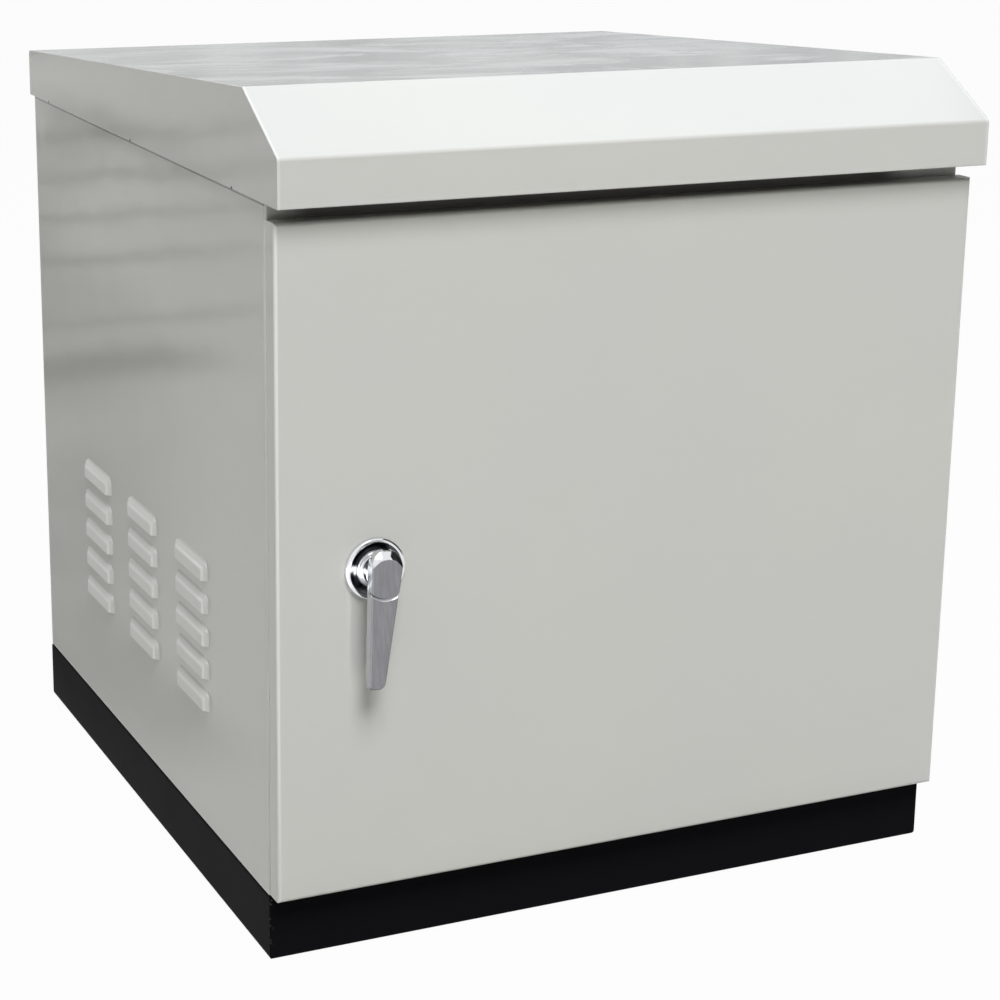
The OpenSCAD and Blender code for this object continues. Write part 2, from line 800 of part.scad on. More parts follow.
module hinge_arm(z) {
    translate([pivot_x, pivot_y, z]) difference() {
        union() {
            cylinder(r = hinge_eye_r, h = knuckle_h, center = true);
            linear_extrude(knuckle_h, center = true) polygon([[0, leaf_face + part_gap],
                [-swing_r - arm_clear, leaf_face + part_gap], [-arm_root[0], foot_face],
                [-arm_root[1], foot_face], [-swing_r - arm_clear, free_edge_y - arm_clear],
                [0, hinge_eye_r / 2]]);
            translate([-foot_near - foot_w, foot_face, -hinge_plate_h / 2])
                cube([foot_w, hinge_plate_t, hinge_plate_h]);
        }
        cylinder(d = hinge_pin_d + 2 * run_fit, h = 2 * knuckle_h, center = true);
        hinge_screw_places() translate([0, 0, -cut])
            cylinder(d = screw_d + 2 * hole_fit, h = hinge_plate_t + 2 * cut);
    }
}

// Screw places on a foot, seen from its pivot; children's Z points to the back
module hinge_screw_places() {
    for (s = [-1, 1])
        translate([-foot_near - foot_w / 2, foot_face, s * screw_off]) rotate([-90, 0, 0]) children();
}

// Holes in the left panel; the right panel is its mirror image, and both are punched alike
module hinge_screw_holes() {
    for (z = hinge_zs) mirror([1, 0, 0]) translate([pivot_x, pivot_y, z]) hinge_screw_places()
        cylinder(d = screw_d + 2 * hole_fit, h = hinge_plate_t + sheet_t + cut);
}

module upper_hinge_arm() { color(zinc) hinge_arm(hinge_zs[1]); }
module lower_hinge_arm() { color(zinc) hinge_arm(hinge_zs[0]); }

module hinge_screws() {
    color(zinc) for (z = hinge_zs) translate([pivot_x, pivot_y, z]) hinge_screw_places() {
        translate([0, 0, -screw_head_h]) cylinder(r = screw_head_r, h = screw_head_h);
        cylinder(d = screw_d, h = hinge_plate_t + sheet_t + nut_run);
    }
}

module hinge_leaf(z) {
    leaf_x = -foot_near - foot_w / 2;
    skin = sheet_t - pivot_in;
    translate([pivot_x, pivot_y, z]) difference() {
        union() {
            translate([leaf_x, skin, -hinge_plate_h / 2])
                cube([-swing_r - leaf_x, hinge_plate_t, hinge_plate_h]);
            for (s = [-1, 1]) translate([0, 0, s * (knuckle_h + part_gap)]) {
                cylinder(r = hinge_eye_r, h = knuckle_h, center = true);
                linear_extrude(knuckle_h, center = true) polygon([[0, skin + part_gap], [-swing_r, skin],
                    [-swing_r - cut, skin + hinge_plate_t], [0, hinge_eye_r / 2]]);
            }
        }
        cylinder(d = hinge_pin_d + 2 * run_fit, h = hinge_plate_h, center = true);
    }
}

module upper_hinge_leaf() { color(zinc) hinge_leaf(hinge_zs[1]); }
module lower_hinge_leaf() { color(zinc) hinge_leaf(hinge_zs[0]); }

module hinge_pins() {
    pin_h = 3 * knuckle_h + 2 * part_gap;
    color(zinc) for (z = hinge_zs) translate([pivot_x, pivot_y, z]) {
        cylinder(d = hinge_pin_d, h = pin_h + pin_head_h, center = true);
        translate([0, 0, pin_h / 2]) cylinder(r = pin_head_r, h = pin_head_h);
    }
}

// Door: a tray folded from one sheet
module round_front(w, d, r) {
    translate([-w / 2 + r, 0]) square([w - 2 * r, d]);
    translate([-w / 2, r]) square([w, d - r]);
    for (s = [-1, 1]) translate([s * (w / 2 - r), r]) circle(r);
}

module door_block(inward, depth) {
    r = door_edge_r - inward;
    intersection() {
        translate([0, door_front + inward, door_z0])
            linear_extrude(door_h) round_front(body_w - 2 * inward, depth, r);
        translate([0, door_front + inward, door_mid_z])
            along_x(body_w) mirror([1, -1]) round_front(door_h - 2 * inward, depth, r);
    }
}

shank_hole_d = shank_d + 2 * hole_fit;

module door_panel() {
    color(paint) difference() {
        door_block(0, door_depth);
        door_block(sheet_t, door_depth);
        on_handle() translate([0, 0, -sheet_t - cut]) cylinder(d = shank_hole_d, h = sheet_t + 2 * cut);
    }
}

stiffener_crown = 15;
stiffener_brim = 27;

module door_stiffeners() {
    mid = sheet_t / 2;
    crown = stiffener_crown;
    brim = stiffener_brim;
    base = door_inner + mid;
    top = door_inner + stiffener_h - mid;
    color(paint) for (s = [-1, 1])
        translate([s * stiffener_off, 0, door_z0 + stiffener_in]) linear_extrude(door_h - 2 * stiffener_in)
            folded([[-brim, base], [-crown, base], [-crown, top], [crown, top], [crown, base], [brim, base]],
                sheet_t);
}

module door_gasket() {
    mid_x = flange_x + sheet_t / 2;
    w = 2 * mid_x + gasket_w;
    h = opening_h + sheet_t + gasket_w;
    thick = rim_y - soft_fit - door_inner;
    color(rubber) translate([0, door_inner, (open_z0 + open_z1) / 2]) rotate([-90, 0, 0])
        difference() {
            translate([-w / 2, -h / 2, 0]) cube([w, h, thick]);
            translate([gasket_w - w / 2, gasket_w - h / 2, -cut])
                cube([w - 2 * gasket_w, h - 2 * gasket_w, thick + 2 * cut]);
        }
}

// Handle rose: a dished disc with a rolled rim, a stepped collar, a neck and a threaded shank
shank_len = 18;
shank_washer_t = 1.6;
shank_nut_h = 6;
collar_h = 1.4;
roll_fit = 0.01;
dish_z = rose_t * 0.55;
washer_r = shank_nut_af * 0.62;
neck_h = finger_gap - part_gap;
spindle_bore_d = spindle_d + 2 * run_fit;

module handle_rose() {
    r = rose_d / 2;
    rim = rose_t / 2;
    color(chrome) on_handle() difference() {
        union() {
            rotate_extrude() {
                square([r - rim, dish_z]);
                square([r, rim]);
                translate([r - rim, rim]) circle(rim - roll_fit);
                translate([0, dish_z]) square([neck_d / 2 + collar_h, collar_h]);
                translate([neck_d / 2 + collar_h, dish_z]) circle(collar_h - roll_fit);
            }
            cylinder(d = neck_d, h = neck_h);
            translate([0, 0, -shank_len]) cylinder(d = shank_d, h = shank_len + cut);
        }
        translate([0, 0, -shank_len - cut]) cylinder(d = spindle_bore_d, h = shank_len + neck_h + 2 * cut);
    }
}

module rose_washer() {
    color(zinc) on_handle() translate([0, 0, -sheet_t - shank_washer_t])
        ring(washer_r, shank_d / 2 + run_fit, shank_washer_t);
}

module rose_nut() {
    color(zinc) on_handle() translate([0, 0, -sheet_t - shank_washer_t - shank_nut_h])
        hex_nut(shank_nut_af, shank_d + 2 * run_fit, shank_nut_h);
}

// Lever, drawn with its face towards +Z and its length along -Y
lever_back = finger_gap;
lever_face = finger_gap + lever_t;
seat_t = 3.2;
seat_fit = 0.3;
cover_seat = lever_back + seat_t;
head_r = head_w / 2;
end_near_r = 2;
end_far_r = 5.5;
dome_run = 6.5;
dome_margin = 1.1;
dome_face_r = head_r + dome_margin;
dome_y = head_top - dome_run - dome_face_r;
dome_deep = (pow(head_top - dome_y, 2) + pow(dome_fall, 2) - pow(dome_face_r, 2)) / (2 * dome_fall);
knuckle_wall = 2.3;
knuckle_r = cover_pin_d / 2 + knuckle_wall;
ear_r = knuckle_r - 1;
ear_w = 5;
cover_pin_y = head_top - knuckle_r - seat_fit;
cover_pin_z = cover_seat - part_gap;
cover_pin_len = 12;
cover_back = cover_seat + seat_fit;
cover_arc_r = 17.5;
cover_gap = 0.9;
cam_clear = 1;
cam_front = front_y + sheet_t + cam_clear - door_front;
square_side = spindle_d * 0.66;
cam_screw_r = square_side * 0.8;

module lever_outline(inward) {
    half = lever_end_w / 2;
    hull() {
        translate([0, head_top - head_r]) circle(head_r - inward);
        translate([end_near_r - half, end_near_r - lever_len]) circle(end_near_r - inward);
        translate([half - end_far_r, end_far_r - lever_len]) circle(end_far_r - inward);
    }
}

// Block with the lever's outline, a bevelled face and a head domed by a sphere
module lever_block(z0, z1) {
    h = z1 - z0;
    low = dome_y - 2 * lever_len;
    intersection() {
        translate([0, 0, z0]) hull() {
            linear_extrude(h - bevel_w) lever_outline(0);
            linear_extrude(h) lever_outline(bevel_w);
        }
        union() {
            translate([-head_w, low, z0 - cut]) cube([2 * head_w, dome_y - low, h + 2 * cut]);
            translate([0, dome_y, z1 - dome_deep]) sphere(norm([dome_face_r, dome_deep]));
        }
    }
}

// Area under the key cover: the head down to an arc
module cover_area(gap) {
    intersection() {
        translate([-head_w, -cover_low - gap]) square([2 * head_w, head_w + cover_low + head_top]);
        translate([0, cover_arc_r - cover_low]) union() {
            circle(cover_arc_r + gap);
            translate([-head_w, 0]) square([2 * head_w, 2 * head_top]);
        }
    }
}

module cover_pin_at(r, length) {
    translate([0, cover_pin_y, cover_pin_z]) rotate([0, 90, 0]) cylinder(r = r, h = length, center = true);
}

module handle_lever() {
    seat_top = cover_pin_y - knuckle_r - part_gap;
    lip_r = cover_arc_r + cover_gap;
    color(chrome) on_lever() difference() {
        union() {
            difference() {
                lever_block(lever_back, lever_face);
                translate([0, 0, cover_seat]) linear_extrude(lever_t) cover_area(cover_gap);
                translate([0, cover_arc_r - cover_low, lever_face - cover_lip])
                    cylinder(r1 = lip_r, r2 = lip_r + cover_lip + cut, h = cover_lip + cut);
                translate([-head_w, seat_top, lever_back - cut])
                    cube([2 * head_w, head_w, lever_t + 2 * cut]);
            }
            cover_pin_at(ear_r, ear_w);
            translate([-ear_w / 2, seat_top - cut, lever_back])
                cube([ear_w, cover_pin_y - seat_top + cut, cover_pin_z - lever_back]);
            translate([0, 0, -cam_front]) cylinder(d = spindle_d, h = cam_front + lever_back + cut);
            translate([-square_side / 2, -square_side / 2, -cam_front - cam_t])
                cube([square_side, square_side, cam_t + cut]);
        }
        translate([0, 0, cover_seat - plug_len]) cylinder(d = plug_d + 2 * run_fit, h = plug_len + cut);
        cover_pin_at(cover_pin_d / 2 + run_fit, head_w);
        translate([0, 0, -cam_front - cam_t - cut])
            cylinder(d = screw_d + 2 * run_fit, h = cam_screw_len + cut);
    }
}

module key_cover_pin() {
    color(chrome) on_lever() cover_pin_at(cover_pin_d / 2, cover_pin_len);
}

plug_proud = 0.9;
plug_room = 1;
cover_proud = 0.4;

// Key cover: a plate over the head, with a knuckle on each side of the lever's ear
module key_cover() {
    face = lever_face + cover_proud;
    slot_w = ear_w + 2 * part_gap;
    slot_r = ear_r + part_gap;
    color(chrome) on_lever() difference() {
        intersection() {
            lever_block(lever_back, face);
            translate([0, 0, lever_back - cut]) linear_extrude(lever_t + 3 * cut) cover_area(0);
            union() {
                translate([-head_w, -lever_len, cover_back]) cube([2 * head_w, 2 * lever_len, lever_t]);
                cover_pin_at(knuckle_r, head_w);
            }
        }
        cover_pin_at(slot_r, slot_w);
        translate([-slot_w / 2, cover_pin_y - knuckle_r, lever_back])
            cube([slot_w, 2 * knuckle_r, cover_pin_z - lever_back]);
        translate([-slot_w / 2, cover_pin_y, lever_back])
            cube([slot_w, 2 * knuckle_r, cover_pin_z + slot_r - lever_back]);
        cover_pin_at(cover_pin_d / 2 + run_fit, cover_pin_len + 2 * part_gap);
        translate([0, 0, cover_seat]) cylinder(d = plug_d + 2 * plug_room, h = plug_proud + part_gap);
    }
}

key_slot_w = 1.4;
key_slot_len = 5.5;
key_slot_deep = 4;
module lock_plug() {
    color(zinc) on_lever() translate([0, 0, cover_seat - plug_len + part_gap]) difference() {
        cylinder(d = plug_d, h = plug_len - part_gap + plug_proud);
        translate([-key_slot_w / 2, -key_slot_len / 2, plug_len + plug_proud - key_slot_deep])
            cube([key_slot_w, key_slot_len, key_slot_deep]);
    }
}

// Cam: points away from the lever, and reaches behind the flange when the lever is level
cam_reach = handle_in - flange_w + cam_grip;
cam_hub_r = 11;
cam_end_r = 7;
cam_screw_len = 12;

module latch_cam() {
    color(zinc) on_lever() translate([0, 0, -cam_front - cam_t]) difference() {
        linear_extrude(cam_t) hull() {
            circle(cam_hub_r);
            translate([0, cam_reach - cam_end_r]) circle(cam_end_r);
        }
        translate([-square_side / 2 - run_fit, -square_side / 2 - run_fit, -cut])
            cube([square_side + 2 * run_fit, square_side + 2 * run_fit, cam_t + 2 * cut]);
    }
}

module cam_screw() {
    color(zinc) on_lever() translate([0, 0, -cam_front - cam_t]) {
        translate([0, 0, -screw_head_h]) cylinder(r = cam_screw_r, h = screw_head_h);
        cylinder(d = screw_d, h = cam_screw_len - part_gap);
    }
}

plinth_front();
plinth_rear();
plinth_left();
plinth_right();
plinth_bolts();
plinth_nuts();
floor_panel();
left_side_panel();
right_side_panel();
rear_panel();
top_panel();
roof_canopy();
front_roof_bearer();
rear_roof_bearer();
roof_bolts();
roof_nuts();
left_upper_brace();
left_lower_brace();
right_upper_brace();
right_lower_brace();
front_left_rail();
front_right_rail();
rear_left_rail();
rear_right_rail();
rail_bolts();
rail_nuts();
left_filter_channels();
left_filter_mat();
right_filter_channels();
right_filter_mat();
cable_grommets();
earth_stud();
earth_washer();
earth_nut();
upper_hinge_arm();
lower_hinge_arm();
hinge_screws();
door_panel();
door_stiffeners();
door_gasket();
upper_hinge_leaf();
lower_hinge_leaf();
hinge_pins();
handle_rose();
rose_washer();
rose_nut();
handle_lever();
key_cover_pin();
latch_cam();
cam_screw();
key_cover();
lock_plug();
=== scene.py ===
import bmesh
import bpy
import numpy as np
from mathutils import Matrix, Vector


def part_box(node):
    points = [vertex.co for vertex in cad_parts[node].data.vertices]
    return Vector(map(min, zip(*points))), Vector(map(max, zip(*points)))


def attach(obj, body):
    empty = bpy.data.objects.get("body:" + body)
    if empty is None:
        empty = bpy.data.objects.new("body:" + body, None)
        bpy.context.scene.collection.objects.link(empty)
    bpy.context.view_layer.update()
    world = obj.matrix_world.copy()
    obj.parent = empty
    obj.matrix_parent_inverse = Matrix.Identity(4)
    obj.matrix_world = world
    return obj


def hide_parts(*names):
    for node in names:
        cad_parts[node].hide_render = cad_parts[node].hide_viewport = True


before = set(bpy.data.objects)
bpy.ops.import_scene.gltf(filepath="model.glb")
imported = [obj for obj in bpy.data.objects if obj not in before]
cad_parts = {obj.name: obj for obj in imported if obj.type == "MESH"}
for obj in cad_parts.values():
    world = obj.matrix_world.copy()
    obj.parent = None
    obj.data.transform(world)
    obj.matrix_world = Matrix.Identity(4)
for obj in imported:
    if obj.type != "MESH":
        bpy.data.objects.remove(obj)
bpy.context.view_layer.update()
print("frame loaded:", len(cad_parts), "nodes")

# camera, worked out from the straight edges of the body in the picture
viewSet = {
    "place": (-0.88665, -1.90172, 0.87539),
    "forward": (0.3995, 0.8805, -0.2551),
    "right": (0.9106, -0.4132, 0.0),
    "roll": 0.010,
    "lens": 86.28,
    "sensor": 36,
    "shift": (0.0653, -0.0723),
}


# the camera's axes are right, up and backwards, with right and up turned by the roll
def aimCamera(s):
    forward = np.array(s["forward"]) / np.linalg.norm(s["forward"])
    right = np.array(s["right"]) / np.linalg.norm(s["right"])
    up = np.cross(right, forward)
    turn = np.array([[np.cos(s["roll"]), np.sin(s["roll"])], [-np.sin(s["roll"]), np.cos(s["roll"])]])
    rolledRight, rolledUp = turn @ np.array([right, up])
    camera = bpy.data.objects.new("camera", bpy.data.cameras.new("camera"))
    camera.data.lens = s["lens"]
    camera.data.sensor_width = s["sensor"]
    camera.data.shift_x, camera.data.shift_y = s["shift"]
    place = Matrix(np.column_stack([rolledRight, rolledUp, -forward]).tolist()).to_4x4()
    place.translation = s["place"]
    camera.matrix_world = place
    bpy.context.scene.collection.objects.link(camera)
    bpy.context.scene.camera = camera


aimCamera(viewSet)
print("camera set")


# one socket of a finish, so that maths on it is written as a Python expression
class Wire:
    def __init__(self, owner, socket):
        self.owner = owner
        self.socket = socket

    def maths(self, operation, *values):
        return self.owner.add("Math", {"operation": operation}, dict(enumerate(values)))

    def __add__(self, other):
        return self.maths("ADD", self, other)

    def __radd__(self, other):
        return self.maths("ADD", other, self)

    def __sub__(self, other):
        return self.maths("SUBTRACT", self, other)

    def __rsub__(self, other):
        return self.maths("SUBTRACT", other, self)

    def __mul__(self, other):
        return self.maths("MULTIPLY", self, other)

    def __rmul__(self, other):
        return self.maths("MULTIPLY", other, self)

    def __neg__(self):
        return self.maths("MULTIPLY", self, -1.0)

    def __abs__(self):
        return self.maths("ABSOLUTE", self)

    def larger(self, other):
        return self.maths("MAXIMUM", self, other)

    def sway(self, span):  # climbs from 0 to span and falls back, over and over
        return self.maths("PINGPONG", self, span)

    def over(self, low, high):  # 0 below low, 1 above high, smooth between
        return self.owner.add("MapRange", {"interpolation_type": "SMOOTHSTEP"},
                              {"Value": self, "From Min": low, "From Max": high}, out="Result")

    def under(self, low, high):  # 1 below low, 0 above high
        return 1.0 - self.over(low, high)


# a node tree with one way to add any node to it
class Finish:
    def __init__(self, name, tree=None):
        if tree is None:
            self.material = bpy.data.materials.new(name)
            self.material.use_nodes = True
            tree = self.material.node_tree
        tree.nodes.clear()
        self.tree = tree

    # kind of node, its settings, its sockets by name or number, and the output that is wanted
    def add(self, kind, settings=None, sockets=None, out=0):
        node = self.tree.nodes.new("ShaderNode" + kind)
        for key, value in (settings or {}).items():
            setattr(node, key, value)
        for key, value in (sockets or {}).items():
            entry = node.inputs[key]
            if isinstance(value, Wire):
                self.tree.links.new(value.socket, entry)
            elif hasattr(entry.default_value, "__len__") and len(entry.default_value) == 4:
                entry.default_value = (*value, 1.0)
            else:
                entry.default_value = value
        return Wire(self, node.outputs[out]) if len(node.outputs) else node

    def spot(self):
        return self.add("TexCoord", out="Object")

    def facing(self):  # the surface's direction in the piece's own frame
        return self.add("TexCoord", out="Normal")

    def toPiece(self, direction):  # a direction of the scene, in the piece's own frame
        frames = {"vector_type": "NORMAL", "convert_from": "WORLD", "convert_to": "OBJECT"}
        return self.add("VectorTransform", frames, {0: direction})

    def parts(self, vector, axes="XYZ"):
        return [self.add("SeparateXYZ", None, {0: vector}, out=axis) for axis in axes]

    def stretch(self, vector, scale):
        return self.add("VectorMath", {"operation": "MULTIPLY"}, {0: vector, 1: scale})

    def noise(self, vector, scale, detail=2.0, rough=0.5, bend=0.0):
        return self.add("TexNoise", None, {"Vector": vector, "Scale": scale, "Detail": detail,
                                           "Roughness": rough, "Distortion": bend}, out="Fac")

    def mix(self, amount, low, high):
        return self.add("Mix", {"data_type": "RGBA"}, {0: amount, 6: low, 7: high}, out=2)

    def round(self, radius):  # softens the corners that light sees
        return self.add("Bevel", {"samples": 6}, {"Radius": radius})

    def relief(self, height, depth, normal=None):  # height from 0 to 1, depth in metres
        sockets = {"Height": height, "Strength": 1.0, "Distance": depth}
        if normal is not None:
            sockets["Normal"] = normal
        return self.add("Bump", None, sockets)

    def surface(self, **sockets):
        names = {key.replace("_", " "): value for key, value in sockets.items()}
        shader = self.add("BsdfPrincipled", None, names)
        self.add("OutputMaterial", None, {"Surface": shader})
        return self.material


# light grey powder coat: a fine orange peel, slow waves and ripples of pressed sheet, a faint drift
# of tone, duller patches on the roof also darkened as a painted reflection streak, a darker coat towards the
# bottom, painted highlights on the bends and the rim, dust and painted light on the louvres, and painted shade
# in the sheltered gap over the door, along the canopy's seam and at its drain notches
# pairs are the two ends of a smooth step; places are in metres
greySet = {
    "colour": (0.608, 0.612, 0.572), "cool": (0.594, 0.600, 0.566), "driftScale": 4.5, "driftStep": (0.3, 0.7),
    "rough": 0.08, "ior": 1.5, "cornerRadius": 0.0013,
    "peelScale": 900, "peelDepth": 0.000010, "peelRough": 0.04,
    "waveStretch": (1.6, 1.6, 3.0), "waveScale": 2.4, "waveDepth": 0.0005, "rippleScale": 14, "rippleShare": 0.7,
    "paintedStreakAndFootDark": (0.30, 0.29, 0.27), "footStep": (0.056, 0.085), "footShare": 0.05,
    "roofFacing": (0.9, 0.98), "roofStep": (0.60, 0.61),
    "patchStretch": (5.5, 9.0, 5.5), "patchStep": (0.44, 0.64), "paintedStreakShare": 0.10, "patchRough": 0.18,
    "pale": (0.80, 0.80, 0.775), "paintedHighlightShare": 0.40, "bendHighlightStep": (0.10, 0.30),
    "rimSide": (0.2996, 0.3012), "rimStep": (0.592, 0.593), "rimFacing": (0.5, 0.7),
    "dustAndPaintedLight": (0.76, 0.765, 0.735), "dustLightShare": 0.55, "dustLightDrift": 0.3, "dustLightSide": (0.3004, 0.3014),
    "louvreTop": (0.28, 0.30), "louvreSide": (0.3026, 0.3032), "louvreLean": 0.48,
    "paintedGapShade": (0.050, 0.040, 0.030), "panelSide": (0.2988, 0.2996),
    "seamFront": (-0.344, 0.5935), "seamRise": 0.00988, "seamDrop": 0.0019, "seamStep": (0.0003, 0.0014),
    "seamSide": (0.3007, 0.3012), "seamShare": 0.75, "notchPitch": 0.249, "notchStep": (0.0000020, 0.0000075),
    "gapMiddle": (-0.02, -0.310, 0.5955), "gapAcross": (0.24, 0.282), "gapDeep": (0.006, 0.010),
    "gapTall": (0.012, 0.018), "gapShare": 0.85, "gapRough": 0.4,
}


def greyCoat(s):
    f = Finish("light_grey_powder_coat")
    spot = f.spot()
    x, y, z = f.parts(spot)
    side = abs(x)
    drift = f.noise(spot, s["driftScale"])
    peel = f.noise(spot, s["peelScale"], 3, 0.6)
    wave = f.noise(f.stretch(spot, s["waveStretch"]), s["waveScale"], 1, 0.4)
    ripple = f.noise(spot, s["rippleScale"])
    marble = f.noise(f.stretch(spot, s["patchStretch"]), 1.0, 4, 0.6, 1.2)
    rounded = f.round(s["cornerRadius"])
    faceX, faceY, faceZ = f.parts(f.toPiece(rounded))
    patch = faceZ.over(*s["roofFacing"]) * z.over(*s["roofStep"]) * marble.over(*s["patchStep"])
    # an upright bend faces partly along x and partly along y, so the product is above 0 only there
    bend = abs(faceX * faceY).over(*s["bendHighlightStep"])
    # the canopy's folded rim, on its roof, slope and lip, which is painted paler as a painted highlight
    rim = side.over(*s["rimSide"]) * z.over(*s["rimStep"]) * abs(faceX).under(*s["rimFacing"])
    # height over the canopy's lower edge, which climbs to the back, and distance to the nearest notch
    seamY, seamZ = s["seamFront"]
    seam = z - (seamZ - seamY * s["seamRise"]) - y * s["seamRise"]
    notch = y.sway(s["notchPitch"] / 2)
    onPanel = side.over(*s["panelSide"])
    seamLine = onPanel * abs(seam + s["seamDrop"]).under(*s["seamStep"]) * side.under(*s["seamSide"])
    drain = onPanel * (notch * notch + seam * seam).under(*s["notchStep"])
    gapX, gapY, gapZ = s["gapMiddle"]
    gap = abs(z - gapZ).under(*s["gapTall"]) * abs(y - gapY).under(*s["gapDeep"])
    gap = gap * abs(x - gapX).under(*s["gapAcross"])
    # the louvres' lower faces lean in a little towards their tops
    onLouvre = z.under(*s["louvreTop"])
    # the louvre faces are painted paler: dust, and painted light for the light they catch
    dustyAndLit = onLouvre * side.over(*s["dustLightSide"])
    lean = onLouvre * side.over(*s["louvreSide"]) * s["louvreLean"]
    colour = f.mix(drift.over(*s["driftStep"]), s["colour"], s["cool"])
    colour = f.mix(dustyAndLit * (s["dustLightShare"] + drift * s["dustLightDrift"]), colour, s["dustAndPaintedLight"])
    # the roof's patches are darkened as a painted reflection streak, and the coat is darker towards the bottom
    colour = f.mix(patch * s["paintedStreakShare"] + z.under(*s["footStep"]) * s["footShare"], colour, s["paintedStreakAndFootDark"])
    # the bends and the canopy's rim are painted paler, a painted highlight
    colour = f.mix(bend.larger(rim) * s["paintedHighlightShare"], colour, s["pale"])
    # painted shade in the gap over the door, along the canopy's seam and at its drain notches
    paintedShadeMask = drain.larger(gap * s["gapShare"]).larger(seamLine * s["seamShare"])
    colour = f.mix(paintedShadeMask, colour, s["paintedGapShade"])
    upward = f.add("CombineXYZ", None, {"Z": lean})
    leaning = f.add("VectorMath", {"operation": "ADD"}, {0: rounded, 1: upward})
    normal = f.add("VectorMath", {"operation": "NORMALIZE"}, {0: leaning})
    normal = f.relief(wave + ripple * s["rippleShare"], s["waveDepth"], normal)
    normal = f.relief(peel, s["peelDepth"], normal)
    rough = s["rough"] + (peel - 0.5) * s["peelRough"] + gap * s["gapRough"] + patch * s["patchRough"]
    return f.surface(Base_Color=colour, Roughness=rough, Normal=normal, IOR=s["ior"])


# black plinth coat: satin, with fine scuffs, and chips along the front left corner
blackSet = {
    "colour": (0.0062, 0.0062, 0.0078), "worn": (0.020, 0.020, 0.022), "chip": (0.24, 0.22, 0.20),
    "peelScale": 1100, "peelDepth": 0.000014, "cloudScale": 14, "cornerRadius": 0.0012,
    "scratchStretch": (30, 30, 420), "scratchStep": (0.66, 0.74), "scuffStep": (0.45, 0.7),
    "scuffShare": 0.8, "scuffHeight": 0.4, "fleckScale": 340, "fleckStep": (0.65, 0.70), "chipHeight": 2.0,
    "corner": (-0.300, -0.310), "chipReach": 0.0035,
    "rough": 0.46, "cloudRough": 0.08, "scuffRough": 0.12, "specular": 0.012,
}


def blackCoat(s):
    f = Finish("satin_black_coat")
    spot = f.spot()
    x, y = f.parts(spot, "XY")
    peel = f.noise(spot, s["peelScale"], 3, 0.6)
    cloud = f.noise(spot, s["cloudScale"], 4, 0.6)
    scratch = f.noise(f.stretch(spot, s["scratchStretch"]), 1.0, 4, 0.7)
    fleck = f.noise(spot, s["fleckScale"])
    cornerX, cornerY = s["corner"]
    edge = (abs(x - cornerX) + abs(y - cornerY)).under(0.0, s["chipReach"])
    chip = edge * fleck.over(*s["fleckStep"])
    scuff = scratch.over(*s["scratchStep"]) * cloud.over(*s["scuffStep"])
    colour = f.mix(scuff * s["scuffShare"], s["colour"], s["worn"])
    colour = f.mix(chip, colour, s["chip"])
    height = peel + scuff * s["scuffHeight"] - chip * s["chipHeight"]
    normal = f.relief(height, s["peelDepth"], f.round(s["cornerRadius"]))
    rough = s["rough"] + cloud * s["cloudRough"] + scuff * s["scuffRough"]
    return f.surface(Base_Color=colour, Roughness=rough, Normal=normal, Specular_IOR_Level=s["specular"])


# polished chrome under all the handle's parts: dark pits in a bright plate
plateSet = {
    "polish": (0.78, 0.79, 0.81), "pit": (0.25, 0.25, 0.26), "pitScale": 1500, "pitStep": (0.72, 0.78),
    "pitShare": 0.4, "rough": 0.04, "pitRough": 0.03,
}


def pitPlate(f, s, colour):
    pit = f.noise(f.spot(), s["pitScale"])
    return f.mix(pit.over(*s["pitStep"]) * s["pitShare"], colour, s["pit"]), s["rough"] + pit * s["pitRough"]


# lever: polished rims and dome, duller sides, and a satin face with brush lines along it and a painted dark
# reflection on the bevel round it
# satinFace is 1 on the lever and 0 on parts that are polished all over
leverSet = {
    "side": (0.52, 0.53, 0.55), "satin": (0.245, 0.243, 0.258), "paintedDarkBevel": (0.10, 0.10, 0.105),
    "tilt": 0.0803, "cornerRadius": 0.0006, "brushStretch": (1500, 40, 30), "cloudStretch": (260, 60, 50),
    "faceStep": (0.975, 0.995), "sideStep": (0.5, 0.8), "sideUp": (0.1, 0.3),
    "borderStart": (0.45, 0.60), "borderEnd": (0.93, 0.975), "borderUp": (0.20, 0.40),
    "satinShare": 0.70, "brushShare": 0.30, "cloudShare": 0.25,
    "satinRough": 0.26, "brushRough": 0.14, "sideRough": 0.16, "brushDepth": 0.000012,
}


def chromeCoat(s, name, satinFace):
    f = Finish(name)
    turned = f.add("Mapping", {"vector_type": "POINT"}, {"Vector": f.spot(), "Rotation": (0.0, s["tilt"], 0.0)})
    brush = f.noise(f.stretch(turned, s["brushStretch"]), 1.0, 4, 0.7)
    cloud = f.noise(f.stretch(turned, s["cloudStretch"]), 1.0, 3, 0.6)
    back, up = f.parts(f.facing(), "YZ")
    front = -back
    face = front.over(*s["faceStep"]) * satinFace
    side = front.under(*s["sideStep"]) * up.under(*s["sideUp"]) * satinFace
    # the bevel round the satin face is painted dark, a painted reflection
    paintedDarkBevel = front.over(*s["borderStart"]) * front.under(*s["borderEnd"]) * up.under(*s["borderUp"]) * satinFace
    colour = f.mix(side, plateSet["polish"], s["side"])
    colour = f.mix(paintedDarkBevel, colour, s["paintedDarkBevel"])
    satin = s["satinShare"] + brush * s["brushShare"] + cloud * s["cloudShare"]
    colour, rough = pitPlate(f, plateSet, f.mix(face * satin, colour, s["satin"]))
    rough = rough + face * (s["satinRough"] + brush * s["brushRough"]) + side * s["sideRough"]
    normal = f.relief(brush * face, s["brushDepth"], f.round(s["cornerRadius"]))
    return f.surface(Base_Color=colour, Metallic=1.0, Roughness=rough, Normal=normal)


